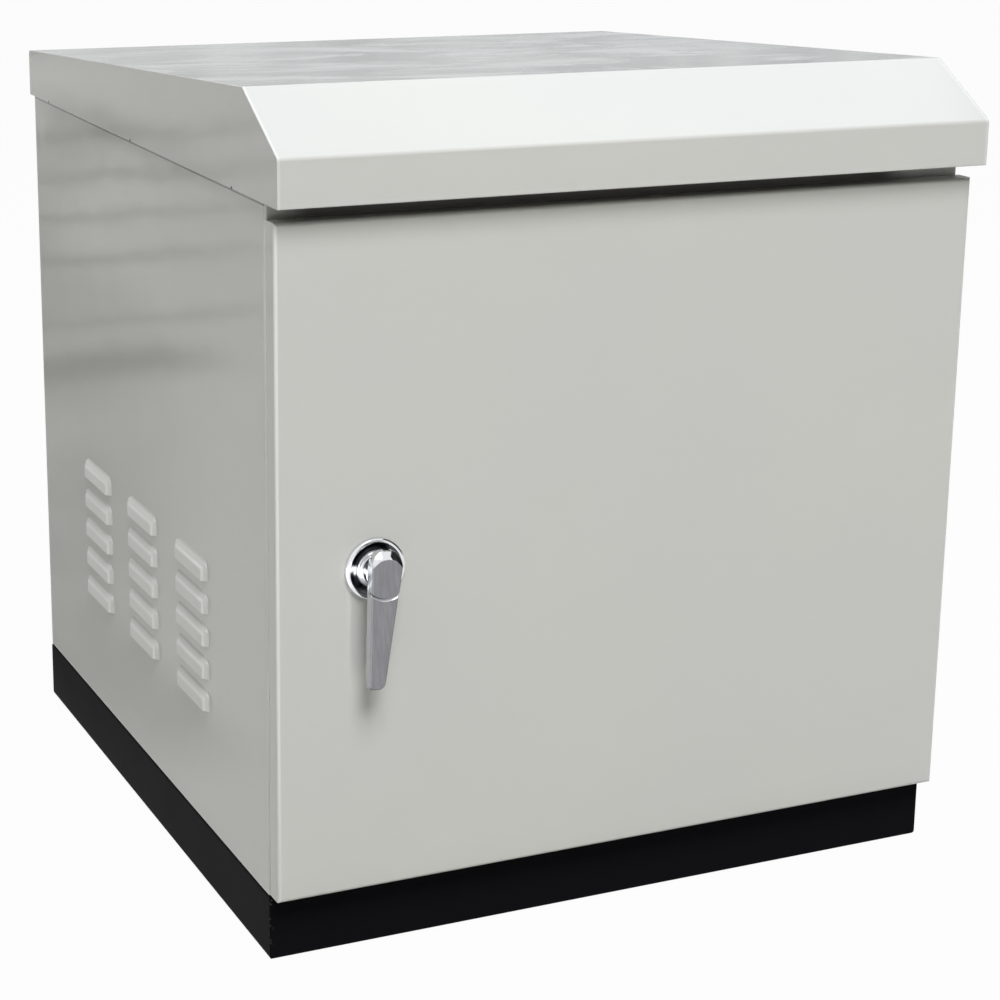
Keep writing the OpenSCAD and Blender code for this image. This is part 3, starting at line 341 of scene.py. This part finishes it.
# rose: the dish, between two radii, is rougher and painted dark as a painted reflection, except in a band
# level with the axis, where it is left bright as a painted highlight
roseDishSet = {
    "paintedDishReflection": (0.11, 0.11, 0.118), "inner": (0.0144, 0.0150), "outer": (0.0206, 0.0212),
    "cloudScale": 240, "bandHeight": 0.001, "bandSway": 0.002, "bandStep": (0.0014, 0.00525),
    "bandShare": 0.9, "dishRough": 0.10, "cornerRadius": 0.0004,
}


def roseCoat(s):
    f = Finish("chrome_rose")
    spot = f.spot()
    x, z = f.parts(spot, "XZ")
    low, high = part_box("handle_rose")
    across, above = x - (low.x + high.x) / 2, z - (low.z + high.z) / 2
    reach = across * across + above * above  # squared distance from the axis
    dish = reach.over(*np.square(s["inner"]).tolist()) * reach.under(*np.square(s["outer"]).tolist())
    cloud = f.noise(spot, s["cloudScale"], 3, 0.6)
    # the dish is painted dark as a painted reflection, left bright in a band level with the axis
    reflectionBand = abs(above - s["bandHeight"] + cloud * s["bandSway"]).under(*s["bandStep"])
    paintedDishReflection = dish * (1.0 - reflectionBand * s["bandShare"])
    colour, rough = pitPlate(f, plateSet, f.mix(paintedDishReflection, plateSet["polish"], s["paintedDishReflection"]))
    return f.surface(Base_Color=colour, Metallic=1.0, Roughness=rough + paintedDishReflection * s["dishRough"],
                     Normal=f.round(s["cornerRadius"]))


# zinc plate: pale metal with a faint crystal pattern and dull patches
zincSet = {
    "bright": (0.62, 0.63, 0.65), "dull": (0.46, 0.47, 0.49), "gold": (0.60, 0.58, 0.52),
    "crystals": 260.0, "cloudScale": 18, "grainStretch": (1, 1, 0.2), "grainScale": 1800,
    "crystalShare": 0.5, "cloudShare": 0.3, "goldStep": (0.55, 0.8), "goldShare": 0.35,
    "rough": 0.30, "roughRise": 0.10, "grainDepth": 0.000008, "cornerRadius": 0.0005,
}


def zincCoat(s):
    f = Finish("zinc_plate")
    spot = f.spot()
    crystal = f.add("TexVoronoi", {"feature": "F1"}, {"Vector": spot, "Scale": s["crystals"]}, out="Color")
    shade = f.add("RGBToBW", None, {"Color": crystal})
    cloud = f.noise(spot, s["cloudScale"], 4, 0.6)
    grain = f.noise(f.stretch(spot, s["grainStretch"]), s["grainScale"])
    colour = f.mix(shade * s["crystalShare"] + cloud * s["cloudShare"], s["bright"], s["dull"])
    colour = f.mix(cloud.over(*s["goldStep"]) * s["goldShare"], colour, s["gold"])
    rough = s["rough"] + shade * s["roughRise"] + cloud * s["roughRise"]
    normal = f.relief(grain + shade * s["crystalShare"], s["grainDepth"], f.round(s["cornerRadius"]))
    return f.surface(Base_Color=colour, Metallic=1.0, Roughness=rough, Normal=normal)


# brass nut: warm metal with darker handling marks and fine turning lines
brassSet = {
    "bright": (0.72, 0.52, 0.20), "dark": (0.42, 0.28, 0.10), "cloudScale": 160, "darkStep": (0.4, 0.75),
    "turning": (60, 60, 2400), "turningDepth": 0.00001, "cornerRadius": 0.0004,
    "rough": 0.26, "cloudRough": 0.2,
}


def brassCoat(s):
    f = Finish("brass")
    spot = f.spot()
    cloud = f.noise(spot, s["cloudScale"], 4, 0.6)
    turning = f.noise(f.stretch(spot, s["turning"]), 1.0)
    colour = f.mix(cloud.over(*s["darkStep"]), s["bright"], s["dark"])
    normal = f.relief(turning, s["turningDepth"], f.round(s["cornerRadius"]))
    rough = s["rough"] + cloud * s["cloudRough"]
    return f.surface(Base_Color=colour, Metallic=1.0, Roughness=rough, Normal=normal)


# black rubber: matt, with a fine moulded grain and a pale bloom
rubberSet = {
    "colour": (0.018, 0.018, 0.019), "bloom": (0.062, 0.061, 0.058), "grainScale": 2200, "grainDepth": 0.00003,
    "bloomScale": 55, "bloomStep": (0.5, 0.8), "bloomShare": 0.7, "rough": 0.62, "bloomRough": 0.2,
    "specular": 0.35,
}


def rubberCoat(s):
    f = Finish("black_rubber")
    spot = f.spot()
    grain = f.noise(spot, s["grainScale"], 3, 0.7)
    bloom = f.noise(spot, s["bloomScale"], 4, 0.65)
    colour = f.mix(bloom.over(*s["bloomStep"]) * s["bloomShare"], s["colour"], s["bloom"])
    normal = f.relief(grain, s["grainDepth"])
    rough = s["rough"] + bloom * s["bloomRough"]
    return f.surface(Base_Color=colour, Roughness=rough, Normal=normal, Specular_IOR_Level=s["specular"])


# open filter foam: round cells with thin walls between them, with painted shade deep in the cells
foamSet = {
    "wall": (0.085, 0.085, 0.082), "deep": (0.014, 0.014, 0.014), "cells": 620, "cellDepth": 0.0005,
    "wallStep": (0.02, 0.22), "wallShare": 0.6, "cloudScale": 40, "cloudShare": 0.6,
    "rough": 0.85, "cloudRough": 0.1, "specular": 0.2,
}


def foamCoat(s):
    f = Finish("filter_foam")
    spot = f.spot()
    cells = {"Vector": spot, "Scale": s["cells"]}
    cell = f.add("TexVoronoi", {"feature": "DISTANCE_TO_EDGE"}, cells, out="Distance")
    cloud = f.noise(spot, s["cloudScale"], 4, 0.6)
    wall = cell.under(*s["wallStep"])
    # the cells' depths are painted dark, a painted shade
    colour = f.mix(wall * (s["wallShare"] + cloud * s["cloudShare"]), s["deep"], s["wall"])
    normal = f.relief(wall, s["cellDepth"])
    rough = s["rough"] + cloud * s["cloudRough"]
    return f.surface(Base_Color=colour, Roughness=rough, Normal=normal, Specular_IOR_Level=s["specular"])


# closed-cell door seal: dark grey with a tight skin and fine pores, with painted shade in the pores
skinSet = {
    "skin": (0.030, 0.030, 0.031), "pore": (0.010, 0.010, 0.010), "pores": 900.0, "poreStep": (0.12, 0.34),
    "poreDepth": 0.00012, "cloudScale": 70, "cloudStep": (0.35, 0.6), "rough": 0.58, "cloudRough": 0.2,
    "specular": 0.3,
}


def sealCoat(s):
    f = Finish("foam_seal")
    spot = f.spot()
    pore = f.add("TexVoronoi", {"feature": "F1"}, {"Vector": spot, "Scale": s["pores"]}, out="Distance")
    cloud = f.noise(spot, s["cloudScale"], 3)
    hole = pore.under(*s["poreStep"])
    # the pores are painted darker in patches, a painted shade
    colour = f.mix(hole * cloud.over(*s["cloudStep"]), s["skin"], s["pore"])
    normal = f.relief(1.0 - hole, s["poreDepth"])
    rough = s["rough"] + cloud * s["cloudRough"]
    return f.surface(Base_Color=colour, Roughness=rough, Normal=normal, Specular_IOR_Level=s["specular"])


finish = {
    "body_paint": greyCoat(greySet),
    "plinth_paint": blackCoat(blackSet),
    "chrome": chromeCoat(leverSet, "polished_chrome", 0.0),
    "lever": chromeCoat(leverSet, "chrome_with_satin_face", 1.0),
    "rose": roseCoat(roseDishSet),
    "zinc_steel": zincCoat(zincSet),
    "brass": brassCoat(brassSet),
    "rubber": rubberCoat(rubberSet),
    "filter_foam": foamCoat(foamSet),
    "seal": sealCoat(skinSet),
}
print("finishes made:", len(finish))


# puts a mesh into the scene with all its faces smooth
def placeMesh(name, mesh):
    mesh.polygons.foreach_set("use_smooth", np.ones(len(mesh.polygons), bool))
    piece = bpy.data.objects.new(name, mesh)
    bpy.context.scene.collection.objects.link(piece)
    return piece


# puts a grid of points, rows by columns, into a closed mesh of quads
# a way that goes round joins its last line to its first; points that meet are merged
def gridPiece(name, grid, rowsRound=False, columnsRound=False, sharp=None):
    rows, columns = grid.shape[:2]
    i = np.arange(rows if rowsRound else rows - 1)
    j = np.arange(columns if columnsRound else columns - 1)
    i, j = [a.ravel() for a in np.meshgrid(i, j, indexing="ij")]
    nextI, nextJ = (i + 1) % rows, (j + 1) % columns
    quads = np.stack([i * columns + j, i * columns + nextJ, nextI * columns + nextJ, nextI * columns + j], 1)
    mesh = bpy.data.meshes.new(name)
    mesh.from_pydata(grid.reshape(-1, 3).tolist(), [], quads.tolist())
    work = bmesh.new()
    work.from_mesh(mesh)
    bmesh.ops.remove_doubles(work, verts=work.verts, dist=1e-6)
    bmesh.ops.recalc_face_normals(work, faces=work.faces)
    work.to_mesh(mesh)
    work.free()
    piece = placeMesh(name, mesh)
    if sharp:
        mesh.set_sharp_from_angle(angle=np.radians(sharp))
    return piece


# puts the meshes of several pieces into one piece and removes the pieces
def joinGrids(name, pieces):
    work = bmesh.new()
    for piece in pieces:
        work.from_mesh(piece.data)
        bpy.data.objects.remove(piece)
    mesh = bpy.data.meshes.new(name)
    work.to_mesh(mesh)
    work.free()
    return placeMesh(name, mesh)


def fit(piece, slot, coat, body, *nodes):
    piece.data.materials.append(finish[coat])
    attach(piece, body)
    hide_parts(*nodes)
    print("made", piece.name, len(piece.data.polygons), "faces")


# points on an arc round a centre, from one angle to another in degrees
def arc(centre, radius, start, end, count):
    turn = np.radians(np.linspace(start, end, count))
    return np.stack([centre[0] + radius * np.cos(turn), centre[1] + radius * np.sin(turn)], 1)


# equal steps round a whole turn, without the last, which is the first again
def wholeTurn(count):
    return np.arange(count) * 2 * np.pi / count


# a triangle wave from 1 to 0 and back, once in each whole step of t
def ridge(t):
    return np.abs(2 * (t - np.floor(t)) - 1)


# rose: the profile (radius, height over the door) turned about the handle's axis; on the shank the radius
# drops by the thread's depth times a triangle wave of height over pitch less the share of a turn
roseSet = {
    "radius": 0.0242, "rim": 0.0024, "rimFoot": ((0.0006, 0.0), (0.0004, 0.0001)), "columns": 192, "sharp": 35,
    "dishTop": 0.0040, "dishLow": 0.0009, "dishPower": 1.7, "dishRows": 28,
    "collar": 0.0152, "collarRound": 0.0008, "collarTop": 0.0038,
    "step": 0.0138, "stepHollow": 0.0004, "stepRound": 0.0007, "stepTop": 0.0059,
    "neck": 0.0125, "neckHollow": 0.0005, "neckLow": 0.0072, "neckRound": 0.0006,
    "bore": 0.00605, "boreEdge": 0.0005, "shank": 0.010, "shankLength": 0.018, "shankEdge": 0.001,
    "shankTop": -0.0008, "relief": 0.0004, "threadPitch": 0.0015, "threadDepth": 0.0007, "threadTop": -0.0007,
}


def makeRose(s):
    low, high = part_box("handle_rose")
    axisX, axisZ = (low.x + high.x) / 2, (low.z + high.z) / 2
    doorFace, neckTop = high.y - s["shankLength"], high.y - s["shankLength"] - low.y
    r, rim, neck, bore, shank = s["radius"], s["rim"], s["neck"], s["bore"], s["shank"]
    end = -s["shankLength"]
    collar, collarRound, step = s["collar"], s["collarRound"], s["step"]
    # the dish falls from the rim on a quarter of an oval and runs level to the collar
    share = np.sin(np.radians(np.linspace(0, 90, s["dishRows"])))
    dishStart = r - 1.5 * rim
    dish = np.stack([dishStart + (collar - dishStart) * share,
                     s["dishTop"] + (s["dishLow"] - s["dishTop"]) * (1 - (1 - share) ** s["dishPower"])], 1)
    profile = np.concatenate([
        np.linspace((bore, end), (shank - s["shankEdge"], end), 4),
        np.linspace((shank, end + s["shankEdge"]), (shank, s["shankTop"]), 110),
        np.linspace((shank - s["relief"], -s["relief"]), (shank - s["relief"], 0.0), 2),
        [(r - inward, rise) for inward, rise in s["rimFoot"]],
        arc((r - rim, rim), rim, -40, 112, 30),
        dish,
        arc((collar - collarRound, s["collarTop"] - collarRound), collarRound, 0, 90, 10),
        arc((step + s["stepHollow"], s["collarTop"] + s["stepHollow"]), s["stepHollow"], 270, 180, 6),
        arc((step - s["stepRound"], s["stepTop"] - s["stepRound"]), s["stepRound"], 0, 90, 10),
        arc((neck + s["neckHollow"], s["stepTop"] + s["neckHollow"]), s["neckHollow"], 270, 180, 8),
        np.linspace((neck, s["neckLow"]), (neck, neckTop - s["neckRound"]), 8),
        arc((neck - s["neckRound"], neckTop - s["neckRound"]), s["neckRound"], 0, 90, 6),
        np.linspace((bore, neckTop), (bore, end + s["boreEdge"]), 6),
    ])
    turn = wholeTurn(s["columns"])
    radius, height = profile[:, :1], profile[:, 1:]
    cut = ((np.abs(radius - shank) < 1e-5) & (height < s["threadTop"])) * s["threadDepth"]
    radius = radius - cut * ridge(height / s["threadPitch"] - turn / (2 * np.pi))
    grid = np.stack([axisX + radius * np.cos(turn), doorFace - height + 0 * turn,
                     axisZ + radius * np.sin(turn)], 2)
    piece = gridPiece("turned_rose", grid, rowsRound=True, columnsRound=True, sharp=s["sharp"])
    fit(piece, "chrome", "rose", "door", "handle_rose")


# door seal: a flattened dome section carried round a rectangle with rounded corners
# half the section is on each side of the path; the dome's width and height swell a little along it
sealSet = {
    "width": 0.010, "corner": 0.013, "cornerSteps": 36, "steps": 900, "section": 22, "base": 6,
    "swell": 0.035, "slowWave": 61, "fastWave": 143, "squeeze": 3.0,
}


# the path's corner points on four quarter circles, each with its direction outwards
def roundedPath(halfW, halfH, corner, steps):
    turn = np.radians(np.linspace(0, 90, steps))
    out = np.concatenate([
        np.stack([np.cos(turn + k * np.pi / 2), np.sin(turn + k * np.pi / 2)], 1) for k in range(4)])
    corners = np.repeat(np.array([(1, 1), (-1, 1), (-1, -1), (1, -1)]), steps, axis=0)
    points = corners * (halfW - corner, halfH - corner) + out * corner
    return points, out


def makeSeal(s):
    low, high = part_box("door_gasket")
    width, thick = s["width"], high.y - low.y
    halfW, halfH = (high.x - low.x - width) / 2, (high.z - low.z - width) / 2
    points, out = roundedPath(halfW, halfH, s["corner"], s["cornerSteps"])
    # equal steps along the closed path, so that the swell shows on the straight sides
    closed = np.concatenate([points, points[:1]])
    closedOut = np.concatenate([out, out[:1]])
    way = np.concatenate([[0], np.cumsum(np.linalg.norm(np.diff(closed, axis=0), axis=1))])
    along = np.linspace(0, way[-1], s["steps"], endpoint=False)
    points = np.stack([np.interp(along, way, closed[:, k]) for k in range(2)], 1)
    out = np.stack([np.interp(along, way, closedOut[:, k]) for k in range(2)], 1)
    out /= np.linalg.norm(out, axis=1, keepdims=True)
    # the section is half a squared-off oval, closed by a flat base
    turn = np.linspace(0, np.pi, s["section"])
    power = 2 / s["squeeze"]
    across = np.sign(np.cos(turn)) * np.abs(np.cos(turn)) ** power * width / 2
    rise = np.sin(turn) ** power * thick
    across = np.concatenate([across, np.linspace(-1, 1, s["base"])[1:-1] * width / 2])
    rise = np.concatenate([rise, np.zeros(s["base"] - 2)])
    waves = 0.5 + 0.3 * np.sin(along * s["slowWave"]) + 0.2 * np.sin(along * s["fastWave"] + 1)
    swell = 1 - s["swell"] * waves[:, None]
    centre = np.array([(low.x + high.x) / 2, (low.z + high.z) / 2])
    flat = centre + points[:, None, :] + (across * swell)[:, :, None] * out[:, None, :]
    grid = np.stack([flat[:, :, 0], low.y + rise * swell, flat[:, :, 1]], 2)
    piece = gridPiece("foam_door_seal", grid, rowsRound=True, columnsRound=True)
    fit(piece, "rubber", "seal", "door", "door_gasket")


# filter mat: a rounded slab; thickness and height follow a squared-off oval,
# and the face is dimpled by a product of two bent waves along it and up it
matSet = {
    "square": 9.0, "around": 120, "along": 180, "dimple": 0.0007,
    "waveAlong": 420, "bendAlong": 260, "waveUp": 390, "bendUp": 300,
}


def makeMat(s, node, name):
    low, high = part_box(node)
    centre = (np.array(low) + np.array(high)) / 2
    half = (np.array(high) - np.array(low)) / 2
    u = np.linspace(0, 2 * np.pi, s["around"], endpoint=False)
    v = np.linspace(-np.pi / 2, np.pi / 2, s["along"])

    def oval(a):
        return np.sign(a) * np.abs(a) ** (2 / s["square"])

    # length by the sine, section by the cosine of v
    endwise, girth = oval(np.sin(v))[:, None], oval(np.cos(v))[:, None]
    thick, tall = oval(np.cos(u))[None, :], oval(np.sin(u))[None, :]
    y, z = endwise * half[1] + 0 * thick, girth * tall * half[2]
    wave = (np.sin(y * s["waveAlong"] + 2 * np.sin(z * s["bendUp"]))
            * np.sin(z * s["waveUp"] + 2 * np.cos(y * s["bendAlong"])))
    x = girth * thick * (half[0] - s["dimple"] * (0.5 + 0.5 * wave))
    grid = centre + np.stack([x, y, z], 2)
    piece = gridPiece(name, grid, columnsRound=True)
    fit(piece, "filter_foam", "filter_foam", "cabinet", node)


# grommet: a turned lip with a groove for the floor sheet and a domed skin with a pimple in its middle
# the skin's height is a quarter cosine of the radius plus a narrow bell at the middle
grommetSet = {
    "count": 3, "columns": 72, "bore": 0.016, "lip": 0.0225, "round": 0.0009, "innerRound": 0.00027,
    "groove": 0.0182, "grooveHalf": 0.00075, "lipHalf": 0.00085,
    "skin": 0.0010, "skinRows": 14, "skinLow": 0.0002, "dome": 0.0006, "pimple": 0.0007, "pimpleReach": 0.12,
    "skinRoom": 0.0001,
}


def makeGrommets(s):
    low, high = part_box("cable_grommets")
    middle, centreY = (low.z + high.z) / 2, (low.y + high.y) / 2
    pitch = (high.x - low.x - 2 * s["lip"]) / (s["count"] - 1)
    top, bore, lip, groove = high.z - middle, s["bore"], s["lip"], s["groove"]
    r, inner, lipHalf = s["round"], s["innerRound"], s["lipHalf"]
    t = np.linspace(0, 1, s["skinRows"])
    rise = s["skinLow"] + s["dome"] * np.cos(t * np.pi / 2) + s["pimple"] * np.exp(-(t / s["pimpleReach"]) ** 2)
    skinTop = np.stack([bore * t, np.minimum(rise, top - s["skinRoom"])], 1)
    profile = np.concatenate([
        skinTop,
        arc((bore + r, top - r), r, 180, 90, 6),
        arc((lip - r, top - r), r, 90, 0, 6),
        arc((lip - r, lipHalf + inner), inner, 0, -90, 4),
        np.linspace((groove, s["grooveHalf"]), (groove, -s["grooveHalf"]), 3),
        arc((lip - r, -lipHalf - inner), inner, 90, 0, 4),
        arc((lip - r, r - top), r, 0, -90, 6),
        arc((bore + r, r - top), r, -90, -180, 6),
        skinTop[::-1] - (0, s["skin"]),
    ])
    turn = wholeTurn(s["columns"])
    rings = []
    for k in range(s["count"]):
        x = low.x + lip + k * pitch
        grid = np.stack([x + profile[:, :1] * np.cos(turn), centreY + profile[:, :1] * np.sin(turn),
                         middle + profile[:, 1:] + 0 * turn], 2)
        rings.append(gridPiece("grommet", grid, columnsRound=True))
    fit(joinGrids("floor_grommets", rings), "rubber", "rubber", "cabinet", "cable_grommets")


# earth stud: radius less the thread's depth times a triangle wave of height and turn, with a chamfered end
studSet = {"pitch": 0.00125, "depth": 0.00065, "columns": 48, "rows": 180, "chamfer": 0.0009, "sharp": 50}


def makeStud(s):
    low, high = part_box("earth_stud")
    r, length = (high.x - low.x) / 2, high.z - low.z
    height = np.linspace(0, length, s["rows"])[:, None]
    turn = wholeTurn(s["columns"])[None, :]
    fade = np.clip((length - height) / s["chamfer"], 0, 1)
    thread = s["depth"] * ridge(height / s["pitch"] - turn / (2 * np.pi)) * fade
    radius = r - thread - s["chamfer"] * (1 - fade)
    ends = np.zeros((1, s["columns"]))
    radius = np.concatenate([ends, radius, ends])
    height = np.concatenate([height[:1], height, height[-1:]]) + 0 * turn
    grid = np.stack([(low.x + high.x) / 2 + radius * np.cos(turn),
                     (low.y + high.y) / 2 + radius * np.sin(turn), low.z + height], 2)
    piece = gridPiece("threaded_earth_stud", grid, columnsRound=True, sharp=s["sharp"])
    fit(piece, "zinc_steel", "zinc_steel", "cabinet", "earth_stud")


makeRose(roseSet)
makeSeal(sealSet)
makeMat(matSet, "left_filter_mat", "left_foam_mat")
makeMat(matSet, "right_filter_mat", "right_foam_mat")
makeGrommets(grommetSet)
makeStud(studSet)

# the other nodes keep their shape and take the finish of their material slot
leverNodes = ("handle_lever", "key_cover")
for name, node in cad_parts.items():
    slotName = node.material_slots[0].material.name.split(".")[0]
    node.material_slots[0].material = finish["lever" if name in leverNodes else slotName]
print("finishes set on the frame")

# stage: a pale floor, a white surround, soft lamps, and cards that only reflections see
# a card has a corner, two sides, its darkest and lightest shade, the share of each side that fades out,
# and the scale of its streaks
stageSet = {
    "floorSize": 24.0,
    "floorDrop": 0.0004,
    "floorColour": (0.47, 0.455, 0.41),
    "floorCloud": (0.5, 0.5, 0.5),
    "cloudScale": 1.5,
    "cloudShare": 0.3,
    "floorGlow": 0.965,
    "skyColour": (0.98, 0.99, 1.0),
    "skyLight": 0.16,
    "white": (1.0, 1.0, 1.0),
    "lamps": {
        "key": {"place": (-0.65, -4.9, 6.9), "aim": (0.0, -0.1, 0.35), "size": 3.4, "power": 618,
                "colour": (0.975, 0.970, 1.0)},
        "side": {"place": (-2.9, -1.0, 3.3), "aim": (-0.3, 0.0, 0.35), "size": 2.0, "power": 21,
                 "colour": (1.0, 0.99, 0.95)},
        "overhead": {"place": (0.85, 0.45, 2.9), "aim": (0.0, -0.2, 0.5), "size": 1.5, "power": 36,
                     "colour": (0.76, 0.84, 1.0)},
    },
    "streakStep": (0.35, 0.65),
    "cards": {
        # bright ones, for the slope of the canopy and the bends
        "key": {"corner": (-2.35, -6.27, 5.9), "sides": ((3.4, 0.0, 0.0), (0.0, 2.74, 2.01)),
                "shades": (3.4, 3.6), "soft": (0.12, 0.12), "streak": (1.0, 1.0, 1.0)},
        "edge": {"corner": (-3.60, -3.40, 0.003), "sides": ((3.25, 0.0, 0.0), (0.0, 3.02, 0.0)),
                 "shades": (3.2, 3.8), "soft": (0.06, 0.06), "streak": (1.0, 1.0, 1.0)},
        "rim": {"corner": (-2.8, 3.6, 1.6), "sides": ((2.9, 0.0, 0.0), (0.0, 0.0, 1.3)),
                "shades": (4.0, 4.6), "soft": (0.10, 0.20), "streak": (1.0, 1.0, 1.0)},
        # dark and grey ones, for the handle, the roof and the left side
        "right": {"corner": (2.4, -3.0, 0.05), "sides": ((0.0, 4.5, 0.0), (0.0, 0.0, 3.4)),
                  "shades": (0.01, 0.05), "soft": (0.08, 0.08), "streak": (3.0, 3.0, 1.0)},
        "behind": {"corner": (-0.2, -3.4, 0.45), "sides": ((1.9, 0.0, 0.0), (0.0, 0.0, 1.1)),
                   "shades": (0.02, 0.10), "soft": (0.10, 0.10), "streak": (3.0, 3.0, 1.0)},
        "back": {"corner": (-0.35, 2.2, 0.55), "sides": ((4.8, 0.0, 0.0), (0.0, 0.0, 1.1)),
                 "shades": (0.27, 0.55), "soft": (0.06, 0.10), "streak": (3.0, 3.0, 14.0)},
        "left": {"corner": (-0.30, -0.28, 0.001), "sides": ((-1.40, 3.94, 0.0), (0.0, 2.0, 0.0)),
                 "shades": (0.48, 0.66), "soft": (0.03, 0.34), "streak": (2.0, 2.0, 2.0)},
        "glare": {"corner": (-0.86, 1.20, 0.0015), "sides": ((-0.75, 2.02, 0.0), (0.0, 1.35, 0.0)),
                  "shades": (0.85, 0.95), "soft": (0.30, 0.20), "streak": (2.0, 2.0, 2.0)},
        "foot": {"corner": (-0.45, 0.0, 0.0015), "sides": ((0.13, 0.0, 0.0), (0.0, 0.75, 0.0)),
                 "shades": (0.50, 0.60), "soft": (0.40, 0.30), "streak": (2.0, 2.0, 2.0)},
        "smudge": {"corner": (-2.5, 6.2, 0.002), "sides": ((1.2, 0.0, 0.0), (0.0, 1.0, 0.0)),
                   "shades": (0.20, 0.70), "soft": (0.30, 0.30), "streak": (5.0, 5.0, 5.0)},
        # the streaks across the left side
        "bar1": {"corner": (-2.30, 4.135, 0.002), "sides": ((1.25, 0.0, 0.0), (0.0, 0.15, 0.0)),
                 "shades": (0.00, 0.15), "soft": (0.35, 0.25), "streak": (2.0, 2.0, 2.0)},
        "bar2": {"corner": (-2.10, 3.450, 0.002), "sides": ((1.30, 0.0, 0.0), (0.0, 0.12, 0.0)),
                 "shades": (0.08, 0.25), "soft": (0.40, 0.25), "streak": (2.0, 2.0, 2.0)},
        "bar3": {"corner": (-1.75, 2.940, 0.002), "sides": ((1.05, 0.0, 0.0), (0.0, 0.10, 0.0)),
                 "shades": (0.10, 0.20), "soft": (0.40, 0.25), "streak": (2.0, 2.0, 2.0)},
        "bar4": {"corner": (-1.55, 2.485, 0.002), "sides": ((0.95, 0.0, 0.0), (0.0, 0.08, 0.0)),
                 "shades": (0.18, 0.28), "soft": (0.40, 0.25), "streak": (2.0, 2.0, 2.0)},
        "bar5": {"corner": (-1.35, 1.930, 0.002), "sides": ((0.80, 0.0, 0.0), (0.0, 0.07, 0.0)),
                 "shades": (0.32, 0.40), "soft": (0.40, 0.25), "streak": (2.0, 2.0, 2.0)},
        "bar6": {"corner": (-1.02, 1.500, 0.002), "sides": ((0.60, 0.0, 0.0), (0.0, 0.34, 0.0)),
                 "shades": (0.20, 0.30), "soft": (0.30, 0.45), "streak": (2.0, 2.0, 2.0)},
    },
}


def seenRay(f):  # 1 for what the camera, a mirror or a glass shows
    rays = [f.add("LightPath", out="Is %s Ray" % kind) for kind in ("Camera", "Glossy", "Transmission")]
    return rays[0].larger(rays[1]).larger(rays[2])


def flatPiece(name, corner, sides):
    corner, (one, two) = np.array(corner), np.array(sides)
    mesh = bpy.data.meshes.new(name)
    mesh.from_pydata([tuple(corner), tuple(corner + one), tuple(corner + one + two), tuple(corner + two)],
                     [], [(0, 1, 2, 3)])
    piece = bpy.data.objects.new(name, mesh)
    bpy.context.scene.collection.objects.link(piece)
    return piece


def setFloor(s):
    size = s["floorSize"]
    floor = flatPiece("floor", (-size / 2, -size / 2, -s["floorDrop"]), ((size, 0, 0), (0, size, 0)))
    f = Finish("pale_floor")
    cloud = f.noise(f.spot(), s["cloudScale"], 3)
    colour = f.mix(cloud * s["cloudShare"], s["floorColour"], s["floorCloud"])
    matt = f.add("BsdfDiffuse", None, {"Color": colour})
    glow = f.add("Emission", None, {"Color": s["white"], "Strength": 1.0})
    shown = f.add("MixShader", None, {0: seenRay(f) * s["floorGlow"], 1: matt, 2: glow})
    f.add("OutputMaterial", None, {"Surface": shown})
    floor.data.materials.append(f.material)


# a card shows its shade of grey in reflections, streaked and fading out at its edges, and no other ray meets it
def setCard(name, card, streakStep):
    piece = flatPiece("card_" + name, card["corner"], card["sides"])
    f = Finish("card_" + name)
    spot = f.spot()
    inside = 1.0
    # a point's share along each side is its dot product with the side's dual vector
    for dual, soft in zip(np.linalg.pinv(np.array(card["sides"])).T, card["soft"]):
        along = f.add("VectorMath", {"operation": "DOT_PRODUCT"}, {0: spot, 1: dual}, out="Value")
        share = along - float(np.array(card["corner"]) @ dual)
        inside = abs(share - 0.5).under(0.5 - soft, 0.5) * inside
    streak = f.noise(f.stretch(spot, card["streak"]), 1.0, 4, 0.6, 0.5)
    dark, light = card["shades"]
    shade = f.mix(streak.over(*streakStep), (dark, dark, dark), (light, light, light))
    glow = f.add("Emission", None, {"Color": shade, "Strength": 1.0})
    clear = f.add("BsdfTransparent")
    f.add("OutputMaterial", None, {"Surface": f.add("MixShader", None, {0: inside, 1: clear, 2: glow})})
    piece.data.materials.append(f.material)
    piece.visible_camera = piece.visible_diffuse = piece.visible_shadow = piece.visible_transmission = False


def setLamp(name, lamp):
    data = bpy.data.lights.new(name, "AREA")
    data.shape = "SQUARE"
    data.size = lamp["size"]
    data.energy = lamp["power"]
    data.color = lamp["colour"]
    place, aim = np.array(lamp["place"]), np.array(lamp["aim"])
    back = (place - aim) / np.linalg.norm(place - aim)
    right = np.cross((0.0, 1.0, 0.01), back)  # a direction across the lamp's own
    right /= np.linalg.norm(right)
    turn = Matrix(np.column_stack([right, np.cross(back, right), back]).tolist()).to_4x4()
    turn.translation = place
    item = bpy.data.objects.new(name, data)
    item.matrix_world = turn
    item.visible_glossy = False
    bpy.context.scene.collection.objects.link(item)


def setStage(s):
    scene = bpy.context.scene
    scene.view_settings.view_transform = "Standard"
    setFloor(s)
    for name, card in s["cards"].items():
        setCard(name, card, s["streakStep"])
    for name, lamp in s["lamps"].items():
        setLamp(name, lamp)
    scene.world = bpy.data.worlds.new("studio")
    scene.world.use_nodes = True
    f = Finish("studio", scene.world.node_tree)
    light = f.add("Background", None, {"Color": s["skyColour"], "Strength": s["skyLight"]})
    white = f.add("Background", None, {"Color": s["white"], "Strength": 1.0})
    f.add("OutputWorld", None, {"Surface": f.add("MixShader", None, {0: seenRay(f), 1: light, 2: white})})


setStage(stageSet)
print("stage set")
